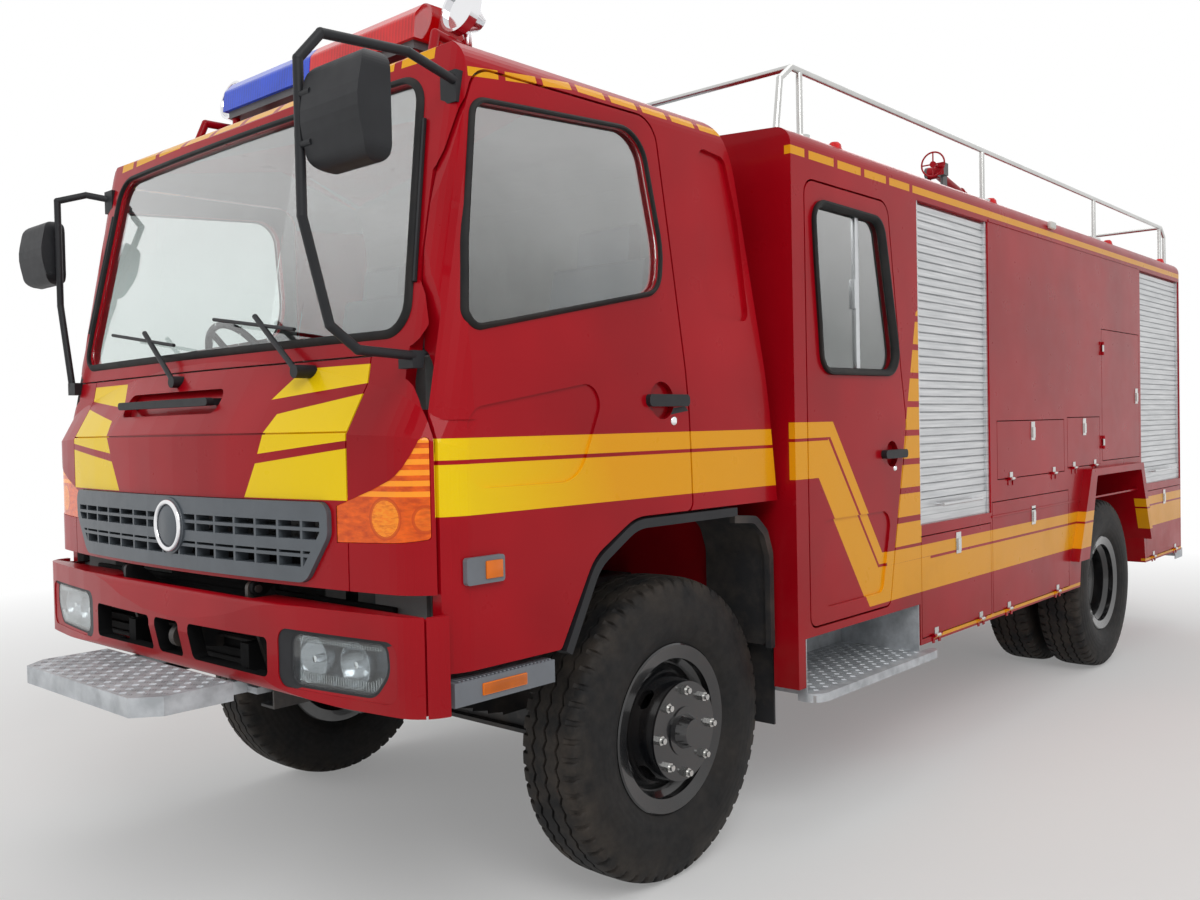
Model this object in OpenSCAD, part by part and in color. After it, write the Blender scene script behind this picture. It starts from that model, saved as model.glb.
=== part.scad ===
// Fire engine with a tilting cab, a crew compartment and a locker body on a two-axle chassis.
// Lengths are in millimetres. Inside each module x is measured forward from the front axle,
// y is to the left of the truck and z is up from the ground. The whole truck is then moved
// so that the origin lies on the ground under the middle of its bounding box.

/* [Chassis] */
// Distance between the axles
wheelbase = 4280; // [4240:10:4400]
// Rear axle to the rear face of the body
rear_overhang = 1680; // [1560:10:1900]
// Width over the frame rails
frame_w = 850; // [780:5:880]
// Height of the frame rails
frame_h = 230; // [180:5:250]
// Top of the frame rails above the ground
frame_top = 960; // [940:5:970]
// Thickness of the frame rails
frame_t = 8; // [6:1:12]
// Width of the frame rail flanges
frame_flange = 75; // [60:5:90]

/* [Wheels] */
// Tyre diameter
tyre_d = 1055; // [1000:5:1060]
// Tyre width
tyre_w = 278; // [260:1:285]
// Bead seat diameter of the rim
rim_d = 508; // [490:1:520]
// Outer diameter of the rim flanges
rim_flange_d = 590; // [570:1:600]
// Width over the rim flanges
rim_w = 224; // [200:1:230]
// Distance from the rim centre to the wheel disc's mounting face
disc_offset = 159; // [155:1:165]
// Distance between the centres of the front tyres
front_track = 1950; // [1930:5:1970]
// Distance from the truck's middle to the mounting face of the rear twin wheels
rear_hub_y = 936; // [925:1:940]
// Distance from the truck's middle to each king pin
king_pin_y = 865; // [855:1:872]
// Wheel nut circle diameter
nut_circle = 285; // [270:1:300]
// Number of wheel nuts
nut_count = 8; // [6:1:10]

/* [Cab] */
// Cab width at the doors
cab_w = 2370; // [2340:5:2380]
// Thickness of the cab walls and doors
cab_t = 45; // [35:1:50]
// Gap round the cab doors
door_gap = 8; // [7:0.5:10]
// Lowest edge of the cab doors
cab_door_bottom = 925; // [915:5:935]
// Lowest edge of the front panels
front_panel_bottom = 1140; // [1135:1:1150]
// Height of the windscreen's lower edge
screen_base_z = 1800; // [1790:5:1810]
// Lean of the windscreen from upright
screen_lean = 11; // [10:0.5:12]
// Highest point of the cab roof
cab_roof_z = 2745; // [2735:5:2770]
// Cab tilt pivot, forward of the front axle
tilt_x = 1200; // [1195:1:1205]
// Cab tilt pivot height
tilt_z = 1112; // [1110:1:1116]

/* [Body] */
// Width of the body
body_w = 2504; // [2480:2:2520]
// Front wall of the body behind the front axle
body_front = 560; // [555:1:570]
// Joint between the crew compartment and the locker body
crew_rear = 1590; // [1580:5:1600]
// Lower edge of the body
body_bottom = 575; // [560:5:590]
// Upper edge of the body sides
body_top = 2690; // [2670:5:2720]
// Rise of the body roof towards its middle
roof_rise = 42; // [20:2:60]
// Thickness of the body walls
body_t = 40; // [30:1:45]
// Thickness of the lockers' inner plates
plate_t = 12; // [8:1:16]
// Depth of the lockers from the body side
locker_depth = 560; // [450:10:600]
// Thickness of the locker flaps
flap_t = 24; // [18:1:30]
// Gap round the locker flaps
flap_gap = 5; // [5:0.5:7]
// Height of one shutter slat
slat_h = 36; // [30:1:45]

/* [Roof gear] */
// Diameter of the roof rail tube
rail_d = 26; // [20:1:32]
// Height of the roof rails above the ground
rail_z = 2960; // [2900:10:3000]
// Length of the light bar
light_bar_l = 1200; // [1000:10:1300]
// Place of the light bar forward of the front axle
light_bar_x = 570; // [520:10:600]

/* [Front and rear] */
// Front face of the bumper forward of the front axle
bumper_x = 1275; // [1270:1:1290]
// Lower edge of the bumper
bumper_bottom = 820; // [810:5:830]
// Upper edge of the bumper
bumper_top = 1090; // [1080:1:1092]
// Front edge of the front step forward of the front axle
front_step_x = 1575; // [1520:5:1600]
// Half width of the front step
front_step_y = 420; // [380:5:460]
// Top of the front step
front_step_z = 840; // [830:5:850]
// Reach of the rear step behind the body
rear_step_l = 200; // [150:10:260]

/* [Hidden] */

$fn = 48;
arc_step = 9;

// Stations along the truck, and the move that puts the origin at the middle of the bounding box
rear_axle_x = -wheelbase;
body_rear_x = rear_axle_x - rear_overhang;
rear_reach_x = body_rear_x - rear_step_l;
front_axle_x = -(front_step_x + rear_reach_x) / 2;
axle_z = tyre_d / 2;
front_wheel_y = front_track / 2;
cab_y = cab_w / 2;
body_y = body_w / 2;
frame_y = frame_w / 2;
frame_bottom = frame_top - frame_h;
fit = 0.4;

// Points of the arc that rounds the corner b between a and c
function arc_between(start, end, centre, r, sweep, steps) = [for (i = [0 : steps])
    centre + (start * sin(sweep * (1 - i / steps)) + end * sin(sweep * i / steps)) / sin(sweep)];
function corner(a, b, c, r) = let (
    p = [b[0], b[1]],
    u = ([a[0], a[1]] - p) / norm([a[0], a[1]] - p),
    v = ([c[0], c[1]] - p) / norm([c[0], c[1]] - p),
    half = acos(max(-1, min(1, u * v))) / 2)
    r <= 0 || half > 89.9 ? [p] : let (
        centre = p + (u + v) / norm(u + v) * r / sin(half),
        sweep = 180 - 2 * half)
        arc_between(p + u * r / tan(half) - centre, p + v * r / tan(half) - centre, centre, r, sweep,
            max(1, ceil(sweep / arc_step)));
function rounded(pts) = let (n = len(pts))
    [for (i = [0 : n - 1]) each corner(pts[(i + n - 1) % n], pts[i], pts[(i + 1) % n], pts[i][2])];
function rounded_path(pts) = let (n = len(pts))
    [for (i = [0 : n - 1]) each (i == 0 || i == n - 1 ? [[pts[i][0], pts[i][1]]]
        : corner(pts[i - 1], pts[i], pts[i + 1], pts[i][2]))];
function normal_at(p, i) = let (
    n = len(p),
    d = p[min(n - 1, i + 1)] - p[max(0, i - 1)])
    [-d[1], d[0]] / norm(d);
// Outline of a folded sheet of thickness t whose middle line is the open path pts
function sheet(pts, t) = let (p = rounded_path(pts), n = len(p))
    concat([for (i = [0 : n - 1]) p[i] + normal_at(p, i) * t / 2],
        [for (i = [n - 1 : -1 : 0]) p[i] - normal_at(p, i) * t / 2]);
function box_outline(x0, x1, z0, z1, r) = rounded([[x0, z0, r], [x1, z0, r], [x1, z1, r], [x0, z1, r]]);
// Plan outline with a bowed front edge, radius bow, and round front corners
function bowed(front, half_w, bow, r, rear) = let (drop = bow - sqrt(bow * bow - half_w * half_w))
    rounded(concat([[rear, -half_w, 0], [front - drop, -half_w, r]], [for (i = [-6 : 6])
    let (y = i * (half_w - r * 1.2) / 6) [front - bow + sqrt(bow * bow - y * y), y, 0]],
    [[front - drop, half_w, r], [rear, half_w, 0]]));

module truck() translate([front_axle_x, 0, 0]) children();
module side_mirror(side) mirror([0, side < 0 ? 1 : 0, 0]) children();
module both_sides() for (side = [1, -1]) side_mirror(side) children();
// An x and z outline, extruded from y0 to y1
module across(y0, y1) translate([0, y1, 0]) rotate([90, 0, 0]) linear_extrude(y1 - y0) children();
// A y and z outline, extruded from x0 to x1
module along(x0, x1) translate([x0, 0, 0]) rotate([90, 0, 90]) linear_extrude(x1 - x0) children();
module upright(z0, z1) translate([0, 0, z0]) linear_extrude(z1 - z0) children();
module block(x0, x1, y0, y1, z0, z1) translate([x0, y0, z0]) cube([x1 - x0, y1 - y0, z1 - z0]);
module rod(a, b, d) translate(a) rotate([0, acos((b[2] - a[2]) / norm(b - a)), atan2(b[1] - a[1],
    b[0] - a[0])]) cylinder(d = d, h = norm(b - a));
// A bent tube through pts with a slightly fuller ball at each bend
ball_extra = 0.8;
module tube_run(pts, d) {
    for (i = [1 : len(pts) - 1]) rod(pts[i - 1], pts[i], d);
    for (i = [1 : 1 : len(pts) - 2]) translate(pts[i]) sphere(d = d + ball_extra);
}
module y_rod(x, y0, y1, z, r) translate([x, y0, z]) rotate([-90, 0, 0]) cylinder(r = r, h = y1 - y0);
module x_rod(x0, x1, y, z, r) translate([x0, y, z]) rotate([0, 90, 0]) cylinder(r = r, h = x1 - x0);
module z_rod(x, y, z0, z1, r) translate([x, y, z0]) cylinder(r = r, h = z1 - z0);

// Frame, axles and running gear
rail_front = 1150;
rail_rear = body_rear_x + 60;
tilt_pin_r = 12;
tilt_boss_r = 22;
bracket_y = 396;
bracket_t = 16;
lug_t = 20;
cross_member_xs = [1060, -1260, -2100, -3000, rear_axle_x - 760, rail_rear + 60];
cross_member_w = 90;
module rail_section() difference() {
    translate([frame_y - frame_flange, frame_bottom]) square([frame_flange, frame_h]);
    translate([frame_y - frame_flange - 1, frame_bottom + frame_t])
        square([frame_flange + 1 - frame_t, frame_h - 2 * frame_t]);
}
module tilt_bracket() {
    difference() {
        across(bracket_y, bracket_y + bracket_t) polygon(rounded([[rail_front - 160, frame_bottom + 40,
            0], [rail_front - 20, frame_bottom + 40, 30], [tilt_x + tilt_boss_r, tilt_z - 40, 20],
            [tilt_x + tilt_boss_r, tilt_z + tilt_boss_r, 22],
            [tilt_x - tilt_boss_r, tilt_z + tilt_boss_r, 22], [rail_front - 160, frame_top, 0]]));
        y_rod(tilt_x, bracket_y - 1, bracket_y + bracket_t + 1, tilt_z, tilt_pin_r);
    }
    y_rod(tilt_x, bracket_y, bracket_y + bracket_t + lug_t + 8, tilt_z, tilt_pin_r);
}
front_tow_x = 1226;
front_tow_z = 926;
tow_pin_r = 16;
rear_tow_x = rail_rear - 95;
rear_tow_z = 850;
rear_tow_r = 20;
module tow_eyes() {
    difference() {
        across(-15, 15) polygon(rounded([[1070, front_tow_z - 60, 0], [front_tow_x, front_tow_z - 36, 20],
            [front_tow_x + 36, front_tow_z - 36, 34], [front_tow_x + 36, front_tow_z + 36, 34],
            [front_tow_x, front_tow_z + 36, 20], [1070, front_tow_z + 20, 0]]));
        y_rod(front_tow_x, -20, 20, front_tow_z, tow_pin_r);
    }
    difference() {
        upright(rear_tow_z - 15, rear_tow_z + 15) polygon(rounded([[rail_rear + 40, -90, 0],
            [rear_tow_x - 45, -50, 44], [rear_tow_x - 45, 50, 44], [rail_rear + 40, 90, 0]]));
        z_rod(rear_tow_x, 0, rear_tow_z - 20, rear_tow_z + 20, rear_tow_r);
    }
}
module chassis_frame() color("dimgray") truck() {
    both_sides() {
        along(rail_rear, rail_front) rail_section();
        tilt_bracket();
    }
    tow_eyes();
    for (x = cross_member_xs) difference() {
        block(x - cross_member_w / 2, x + cross_member_w / 2, -frame_y + frame_t, frame_y - frame_t,
            frame_bottom + 45, frame_top - 45);
        block(x - cross_member_w / 2 + frame_t, x + cross_member_w / 2 + 1, -frame_y + frame_t + 1,
            frame_y - frame_t - 1, frame_bottom + 45 + frame_t, frame_top - 45 - frame_t);
    }
}

// Leaf spring: one stepped outline, the leaves get shorter downwards and hang in an arc below their eyes
leaf_t = 11;
leaf_w = 70;
spring_eye_r = 26;
function leaf_angle(half_l, r, i, leaves) = asin(half_l * (1 - 0.8 * i / leaves) / r);
function on_arc(r, a, top) = [r * sin(a), top - r * cos(a)];
function leaf_side(half_l, r, leaves, top) = [for (i = [0 : leaves - 1])
    let (a = leaf_angle(half_l, r, i, leaves)) each [on_arc(r + i * leaf_t, a, top),
    on_arc(r + (i + 1) * leaf_t, a, top)]];
module leaf_spring(x, y, half_l, sag, leaves, bottom_z) translate([x, y, 0]) {
    r = (half_l * half_l + sag * sag) / (2 * sag);
    top = bottom_z + r + leaves * leaf_t;
    ends = leaf_side(half_l, r, leaves, top);
    span = leaf_angle(half_l, r, 0, leaves);
    eye_z = bottom_z + leaves * leaf_t + sag - 8;
    across(-leaf_w / 2, leaf_w / 2) polygon(concat(
        [for (p = ends) p],
        [for (i = [len(ends) - 1 : -1 : 0]) [-ends[i][0], ends[i][1]]],
        [for (k = [-5 : 5]) on_arc(r, span * k / 6, top)]));
    for (end = [-1, 1]) {
        y_rod(end * (half_l - 6), -leaf_w / 2 - 1, leaf_w / 2 + 1, eye_z, spring_eye_r);
        if (eye_z + spring_eye_r < frame_bottom) block(end * (half_l - 6) - 22, end * (half_l - 6) + 22,
            -leaf_w / 2 + 6, leaf_w / 2 - 6, eye_z, frame_bottom);
        else block(end * (half_l - 6) - 60, end * (half_l - 6) + 60, frame_y + fit - y, -leaf_w / 2 + 8,
            eye_z - spring_eye_r - 8, frame_top - 40);
    }
    block(-60, 60, -leaf_w / 2 - 8, leaf_w / 2 + 8, bottom_z - 44, bottom_z + leaf_t);
}
beam_w = 96;
beam_low = 400;
king_boss_r = 42;
king_boss_h = 104;
front_leaves = 7;
rear_leaves = 10;
front_spring_y = frame_y - 15;
rear_spring_y = frame_y + leaf_w / 2 + 10;
front_spring_z = beam_low + 104;
rear_tube_r = 66;
rear_stub_r = 44;
rear_spring_z = axle_z + rear_tube_r + 14;
module front_axle() color("dimgray") truck() {
    difference() {
        union() {
            along(-beam_w / 2, beam_w / 2) polygon(rounded([[-king_pin_y, axle_z - 45, 0],
                [-700, axle_z - 60, 60], [-560, beam_low, 80], [560, beam_low, 80],
                [700, axle_z - 60, 60], [king_pin_y, axle_z - 45, 0], [king_pin_y, axle_z + 45, 0],
                [650, axle_z + 35, 60], [520, beam_low + 90, 80], [-520, beam_low + 90, 80],
                [-650, axle_z + 35, 60], [-king_pin_y, axle_z + 45, 0]]));
            both_sides() z_rod(0, king_pin_y, axle_z - king_boss_h / 2, axle_z + king_boss_h / 2,
                king_boss_r);
        }
        both_sides() for (x0 = [-beam_w, beam_w * 0.14])
            block(x0, x0 + beam_w * 0.86, -1, 480, beam_low + 16, beam_low + 74);
        both_sides() z_rod(0, king_pin_y, axle_z - 200, axle_z + 200, 18 + fit / 8);
    }
    both_sides() leaf_spring(0, front_spring_y, 640, 118, front_leaves, front_spring_z);
}
module rear_axle() color("dimgray") truck() translate([rear_axle_x, 0, 0]) {
    both_sides() {
        y_rod(0, 0, rear_hub_y - 250, axle_z, rear_tube_r);
        leaf_spring(0, rear_spring_y, 660, 60, rear_leaves, rear_spring_z);
        y_rod(0, rear_hub_y - 251, rear_hub_y + 80, axle_z, rear_stub_r);
        y_rod(0, rear_hub_y - 224, rear_hub_y - 208, axle_z, 188);
    }
    translate([0, 0, axle_z]) sphere(r = 185);
    x_rod(0, 330, 0, axle_z + 20, 80);
}

// Engine block with the gearbox and the propeller shaft behind it, and the radiator ahead
module engine() color("slategray") truck() {
    block(-330, 760, -330, 330, frame_bottom - 110, 1400);
    across(-190, 190) polygon(rounded([[-320, frame_bottom - 80, 0], [-320, 1180, 0], [-520, 925, 60],
        [-1150, 890, 40], [-1150, frame_bottom - 80, 40]]));
    rod([-1140, 0, frame_bottom - 30], [rear_axle_x + 336, 0, axle_z + 20], 90);
    block(820, 900, -345, 345, 790, 1400);
    block(750, 830, -220, 220, 800, 1300);
}

// Knuckle with its stub axle, steering arm and backing plate
stub_r = 32;
arm_x = -190;
arm_y = king_pin_y - 60;
arm_z = axle_z - 92;
tie_pin_r = 10;
module knuckle(side) color("gray") truck() side_mirror(side) {
    for (z0 = [axle_z - king_boss_h / 2 - 45, axle_z + king_boss_h / 2 + 5]) {
        z_rod(0, king_pin_y, z0, z0 + 40, king_boss_r);
        block(-king_boss_r, king_boss_r, king_pin_y, king_pin_y + 64, z0, z0 + 40);
    }
    z_rod(0, king_pin_y, axle_z - king_boss_h / 2 - 45, axle_z + king_boss_h / 2 + 45, 18);
    block(-60, 60, king_pin_y + 50, king_pin_y + 64, axle_z - king_boss_h / 2 - 45,
        axle_z + king_boss_h / 2 + 45);
    y_rod(0, king_pin_y + 60, king_pin_y + 72, axle_z, 190);
    y_rod(0, king_pin_y + 70, front_wheel_y + disc_offset - 20, axle_z, stub_r);
    hull() {
        z_rod(0, king_pin_y, arm_z - 5, arm_z + 20, 30, $fn = 32);
        z_rod(arm_x, arm_y, arm_z - 5, arm_z + 20, 20, $fn = 32);
    }
    z_rod(arm_x, arm_y, arm_z - (side > 0 ? 44 : 14), arm_z, tie_pin_r);
}
module knuckle_left() knuckle(1);
module knuckle_right() knuckle(-1);
// The tie rod runs from the left steering arm to the right one
module tie_rod() color("gray") truck() {
    difference() {
        union() {
            z_rod(arm_x, arm_y, arm_z - 44, arm_z - 10, 22);
            z_rod(arm_x, -arm_y, arm_z - 50, arm_z - 20, 22);
            rod([arm_x, -arm_y + 15, arm_z - 32], [arm_x, arm_y - 15, arm_z - 32], 28);
        }
        z_rod(arm_x, arm_y, arm_z - 60, arm_z, tie_pin_r + 0.08);
    }
}

// Wheels are drawn round the z axis with the outer side up, then laid across the truck
hub_bore_r = stub_r + 0.08;
disc_t = 12;
function rim_profile(w) = [[rim_flange_d / 2 - 6, -w / 2], [rim_flange_d / 2, -w / 2 + 4],
    [rim_flange_d / 2 - 4, -w / 2 + 12], [rim_d / 2 + 2, -w / 2 + 16], [rim_d / 2, -w / 2 + 44],
    [rim_d / 2 - 24, -w / 2 + 66], [rim_d / 2 - 24, w / 2 - 66], [rim_d / 2, w / 2 - 44],
    [rim_d / 2 + 2, w / 2 - 16], [rim_flange_d / 2 - 4, w / 2 - 12], [rim_flange_d / 2, w / 2 - 4],
    [rim_flange_d / 2 - 6, w / 2], [rim_d / 2 - 12, w / 2 - 10], [rim_d / 2 - 10, w / 2 - 40],
    [rim_d / 2 - 34, w / 2 - 64], [rim_d / 2 - 34, -w / 2 + 64], [rim_d / 2 - 10, -w / 2 + 40],
    [rim_d / 2 - 12, -w / 2 + 10]];
bell_r = 172;
hub_r = 84;
module wheel_disc(bore) difference() {
    rotate_extrude($fn = 96) polygon(rounded([[bore, disc_offset - disc_t, 0],
        [bell_r - 26, disc_offset - disc_t, 12], [bell_r - 8, 44, 40], [rim_d / 2 - 30, 8, 0],
        [rim_d / 2 - 30, 30, 0], [bell_r + 12, 56, 30], [bell_r - 2, disc_offset - 8, 0],
        [bell_r - 2, disc_offset, 0], [bore, disc_offset, 0]]));
    for (i = [0 : nut_count / 2 - 1]) rotate([0, 0, (i + 0.5) * 720 / nut_count]) translate([bell_r, 0, 0])
        rotate([0, 90, 0]) translate([-92, 0, -60]) {
            translate([0, -16, 0]) cylinder(r = 22, h = 120);
            translate([0, 16, 0]) cylinder(r = 22, h = 120);
            translate([-22, -16, 0]) cube([44, 32, 120]);
        }
}
module wheel_nuts(z) for (i = [0 : nut_count - 1]) rotate([0, 0, i * 360 / nut_count])
    translate([nut_circle / 2, 0, z]) {
    cylinder(r = 17, h = 16, $fn = 6);
    translate([0, 0, 15]) cylinder(r = 10, h = 14);
}
module wheel_at(x, y, side) truck() side_mirror(side) translate([x, y, axle_z]) rotate([-90, 0, 0])
    children();
module front_rim(side) color("black") wheel_at(0, front_wheel_y, side) {
    rotate_extrude($fn = 96) polygon(rim_profile(rim_w));
    wheel_disc(hub_bore_r);
    wheel_nuts(disc_offset - 1);
    difference() {
        union() {
            translate([0, 0, 20]) cylinder(r = hub_r, h = disc_offset - 15);
            translate([0, 0, disc_offset]) cylinder(r1 = 62, r2 = 46, h = 42);
        }
        cylinder(r = hub_bore_r, h = disc_offset - 12);
    }
    difference() {
        translate([0, 0, -25]) cylinder(r = 205, h = 60);
        translate([0, 0, -26]) cylinder(r = 193, h = 50);
        cylinder(r = hub_bore_r, h = 60);
    }
}
module front_rim_left() front_rim(1);
module front_rim_right() front_rim(-1);

tyre_z = tyre_w / 2;
bead_gap = fit;
groove_w = 9;
groove_depth = 13;
tread_half = 104;
function grooves(r, zs) = [for (z = zs) each [[r, z - groove_w / 2],
    [r - groove_depth, z - groove_w / 2 + 2], [r - groove_depth, z + groove_w / 2 - 2],
    [r, z + groove_w / 2]]];
module tyre() rotate_extrude($fn = 120) polygon(concat(rounded_path([[rim_d / 2 + bead_gap + 2,
    -rim_w / 2 + 17, 0], [rim_flange_d / 2 + 4, -rim_w / 2 + 16, 10],
    [rim_flange_d / 2 + 20, -rim_w / 2 - 14, 20], [tyre_d / 2 - 130, -tyre_z, 60],
    [tyre_d / 2 - 50, -tyre_z + 10, 30], [tyre_d / 2 - 10, -tread_half - 4, 14],
    [tyre_d / 2, -tread_half + 34, 0]]), grooves(tyre_d / 2, [-52, 0, 52]), rounded_path([[tyre_d / 2,
    tread_half - 34, 0], [tyre_d / 2 - 10, tread_half + 4, 14], [tyre_d / 2 - 50, tyre_z - 10, 30],
    [tyre_d / 2 - 130, tyre_z, 60], [rim_flange_d / 2 + 20, rim_w / 2 + 14, 20],
    [rim_flange_d / 2 + 4, rim_w / 2 - 16, 10], [rim_d / 2 + bead_gap + 2, rim_w / 2 - 17, 0]])));
module front_tyre_left() color("black") wheel_at(0, front_wheel_y, 1) tyre();
module front_tyre_right() color("black") wheel_at(0, front_wheel_y, -1) tyre();

// Twin wheels meet back to back at the hub's face
twin_y = [rear_hub_y + disc_offset, rear_hub_y - disc_offset];
module rear_rims(side) color("black") {
    wheel_at(rear_axle_x, twin_y[0], side) mirror([0, 0, 1]) {
        rotate_extrude($fn = 96) polygon(rim_profile(rim_w));
        wheel_disc(rear_stub_r + 0.08);
    }
    wheel_at(rear_axle_x, twin_y[1], side) {
        rotate_extrude($fn = 96) polygon(rim_profile(rim_w));
        wheel_disc(rear_stub_r + 0.08);
        wheel_nuts(disc_offset + disc_t - 1);
    }
    wheel_at(rear_axle_x, rear_hub_y, side) difference() {
        union() {
            translate([0, 0, -200]) cylinder(r = 205, h = 192);
            translate([0, 0, -20]) cylinder(r = hub_r, h = 130);
            translate([0, 0, 100]) cylinder(r = 112, h = 18);
            translate([0, 0, 117]) cylinder(r1 = 60, r2 = 48, h = 30);
        }
        translate([0, 0, -201]) cylinder(r = 193, h = 150);
        translate([0, 0, -201]) cylinder(r = rear_stub_r + 0.08, h = 290);
    }
}
module rear_rims_left() rear_rims(1);
module rear_rims_right() rear_rims(-1);
module rear_tyres(side) color("black") for (y = twin_y) wheel_at(rear_axle_x, y, side) tyre();
module rear_tyres_left() rear_tyres(1);
module rear_tyres_right() rear_tyres(-1);

// Cab volume: a side outline and a section cut by three bowed fronts that lean differently
panel_x = 1240;
panel_top_z = 1590;
ledge_lean = 29;
screen_x = 1115;
panel_bow = 7000;
screen_bow = 15000;
panel_corner = 180;
screen_corner = 150;
cab_low = 600;
cab_side = [[1400, cab_low, 0], [1400, 2400, 0], [955.5, 2640, 40], [900, cab_roof_z - 45, 110],
    [300, cab_roof_z, 900], [-290, cab_roof_z - 40, 130], [-385, 2560, 300], [-495, 1600, 300],
    [-535, 1290, 0], [-535, cab_low, 0]];
cab_section = [[-cab_y, cab_low, 0], [cab_y, cab_low, 0], [cab_y, 1700, 1500], [cab_y - 92, 2690, 105],
    [650, cab_roof_z, 600], [-650, cab_roof_z, 600], [-cab_y + 92, 2690, 105], [-cab_y, 1700, 1500]];
module inset_outline(pts, inset) offset(delta = -inset) polygon(rounded(pts));
module leaning(x, z, lean, bow, r, inset) translate([x, 0, z]) rotate([0, -lean, 0])
    translate([0, 0, -2500]) linear_extrude(6000) offset(delta = -inset)
    polygon(bowed(0, cab_y + 1, bow, r, -3000));
// The windscreen's prism joins the leaning panel's above screen_join_z
screen_join_z = 1610;
module cab_volume(inset) intersection() {
    across(-cab_y - 10, cab_y + 10) inset_outline(cab_side, inset);
    along(-700, 1500) inset_outline(cab_section, inset);
    union() {
        intersection() {
            leaning(panel_x, panel_top_z, 0, panel_bow, panel_corner, inset);
            leaning(panel_x, panel_top_z, ledge_lean, panel_bow, panel_corner, inset);
        }
        intersection() {
            leaning(screen_x, screen_base_z, screen_lean, screen_bow, screen_corner, inset);
            block(-1000, 1500, -cab_y - 1, cab_y + 1, screen_join_z, cab_roof_z + 10);
        }
    }
}
panel_t = 35;
module cab_skin(from, to) difference() {
    cab_volume(from);
    cab_volume(to);
}

// Door outlines as x, z and corner radius, and the wheel arch that they follow
door_front = 1085;
door_rear = 4;
cab_door_outline = [[door_front, cab_door_bottom, 14], [655, cab_door_bottom, 20], [500, 1185, 170],
    [300, 1292, 200], [-2, 1292, 30], [door_rear, 1500, 0], [40, 2180, 600], [66, 2618, 90],
    [868, 2606, 90], [925, 2480, 300], [1015, 2150, 600], [1045, 1870, 60], [door_front, 1770, 60]];
window_outline = [[985, 1862, 40], [962, 2100, 200], [888, 2510, 60], [150, 2560, 110], [95, 2160, 300],
    [130, 2030, 90]];
module door_prism(pts, grow) across(1035 + door_gap - grow, cab_y + 60) offset(delta = grow)
    polygon(rounded(pts));
// Hidden hinges: an arm on the hinge post turns on a pin inside the door
hinge_x = 1040;
hinge_y = cab_y - 40;
hinge_zs = [1060, 1540];
hinge_pin_r = 8;
hinge_eye_r = 13;
arm_half = 9;
arm_h = 24;
post_y = cab_y - 118;
module hinge_arm(x, y, y_post, z) difference() {
    union() {
        block(x - arm_half, x + arm_half, y_post, y, z - arm_h / 2, z + arm_h / 2);
        z_rod(x, y, z - arm_h / 2, z + arm_h / 2, hinge_eye_r);
    }
    z_rod(x, y, z - arm_h, z + arm_h, hinge_pin_r + 0.08);
}
pocket_half = arm_h / 2 + 6;

module lug_plate() difference() {
    across(bracket_y + bracket_t + 1, bracket_y + bracket_t + 1 + lug_t)
        polygon(rounded([ [tilt_x - tilt_boss_r, tilt_z - tilt_boss_r, 22],
        [tilt_x + tilt_boss_r, tilt_z - tilt_boss_r, 22],
        [tilt_x + tilt_boss_r - 6, tilt_z + tilt_boss_r, 16], [1184, 1136, 0], [1150, 1180, 0],
        [1150, 1240, 0], [1060, 1240, 0], [1060, 1180, 20]]));
    y_rod(tilt_x, 0, cab_y, tilt_z, tilt_pin_r + 0.08);
}
floor_z = 1296;
floor_t = 26;
beam_z0 = 1180;
beam_z1 = 1240;
tunnel_y = 400;
tunnel_z = 1500;
screen_outline = [[-1010, 1862, 70], [1010, 1862, 70], [935, 2600, 90], [-935, 2600, 90]];
recess_outline = [[-160, 1960, 40], [-400, 1955, 40], [-385, 2330, 300], [-340, 2555, 40],
    [-180, 2570, 40]];
module cab_shell() color("firebrick") truck() {
    difference() {
        cab_skin(0, cab_t);
        // Windscreen, and the front that the separate front panels close
        along(700, 1400) polygon(rounded(screen_outline));
        block(930, 1500, -cab_y - 1, cab_y + 1, cab_low - 1, screen_base_z);
        both_sides() door_prism(cab_door_outline, door_gap);
        both_sides() difference() {
            across(900, cab_y + 20) polygon(rounded(recess_outline));
            cab_volume(14);
        }
        // Everything below the floor between the wheel arches
        across(-cab_y - 1, cab_y + 1) polygon([[-600, cab_low - 1], [1000, cab_low - 1], [1000, 1160],
            [500, 1292], [-600, 1292]]);
    }
    // Floor, engine tunnel, firewall, front cross beam and the stubs that carry the front panels
    intersection() {
        difference() {
            union() {
                block(-515, 970, -1130, 1130, floor_z, floor_z + floor_t);
                block(-515, 1060, -1060, 1060, floor_z, floor_z + floor_t);
                block(-515, 1060, -tunnel_y, tunnel_y, floor_z, tunnel_z);
                block(1030, 1060, -1000, 1000, beam_z0, screen_base_z - 60);
                block(1059, 1150, -800, 800, beam_z0, beam_z1);
                for (y = [-760, -430, 400, 730]) block(1149, 1300, y, y + 30, beam_z0 + 10, beam_z1 - 10);
                both_sides() block(1044, 1200, post_y - 60, post_y - 30, beam_z0 + 10, beam_z1 - 10);
            }
            block(-600, 1061, -tunnel_y + floor_t, tunnel_y - floor_t, beam_z1, tunnel_z - floor_t);
        }
        cab_volume(panel_t + fit);
    }
    both_sides() {
        // Hinge post and the well behind the door with its tread
        block(985, 1045, post_y - 60, post_y, cab_door_bottom + 40, 1640);
        for (z = hinge_zs) hinge_arm(hinge_x, hinge_y, post_y - 1, z);
        block(690, 1060, 830, 850, cab_door_bottom, floor_z + 1);
        block(690, 970, 830, cab_y - 60, 1050, 1070);
        block(969, 1060, 830, post_y - 5, 1050, 1070);
        block(690, 705, 830, cab_y - 60, cab_door_bottom, floor_z + 1);
        block(1045, 1060, 830, post_y - 5, cab_door_bottom, floor_z + 1);
        lug_plate();
    }
}

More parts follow.
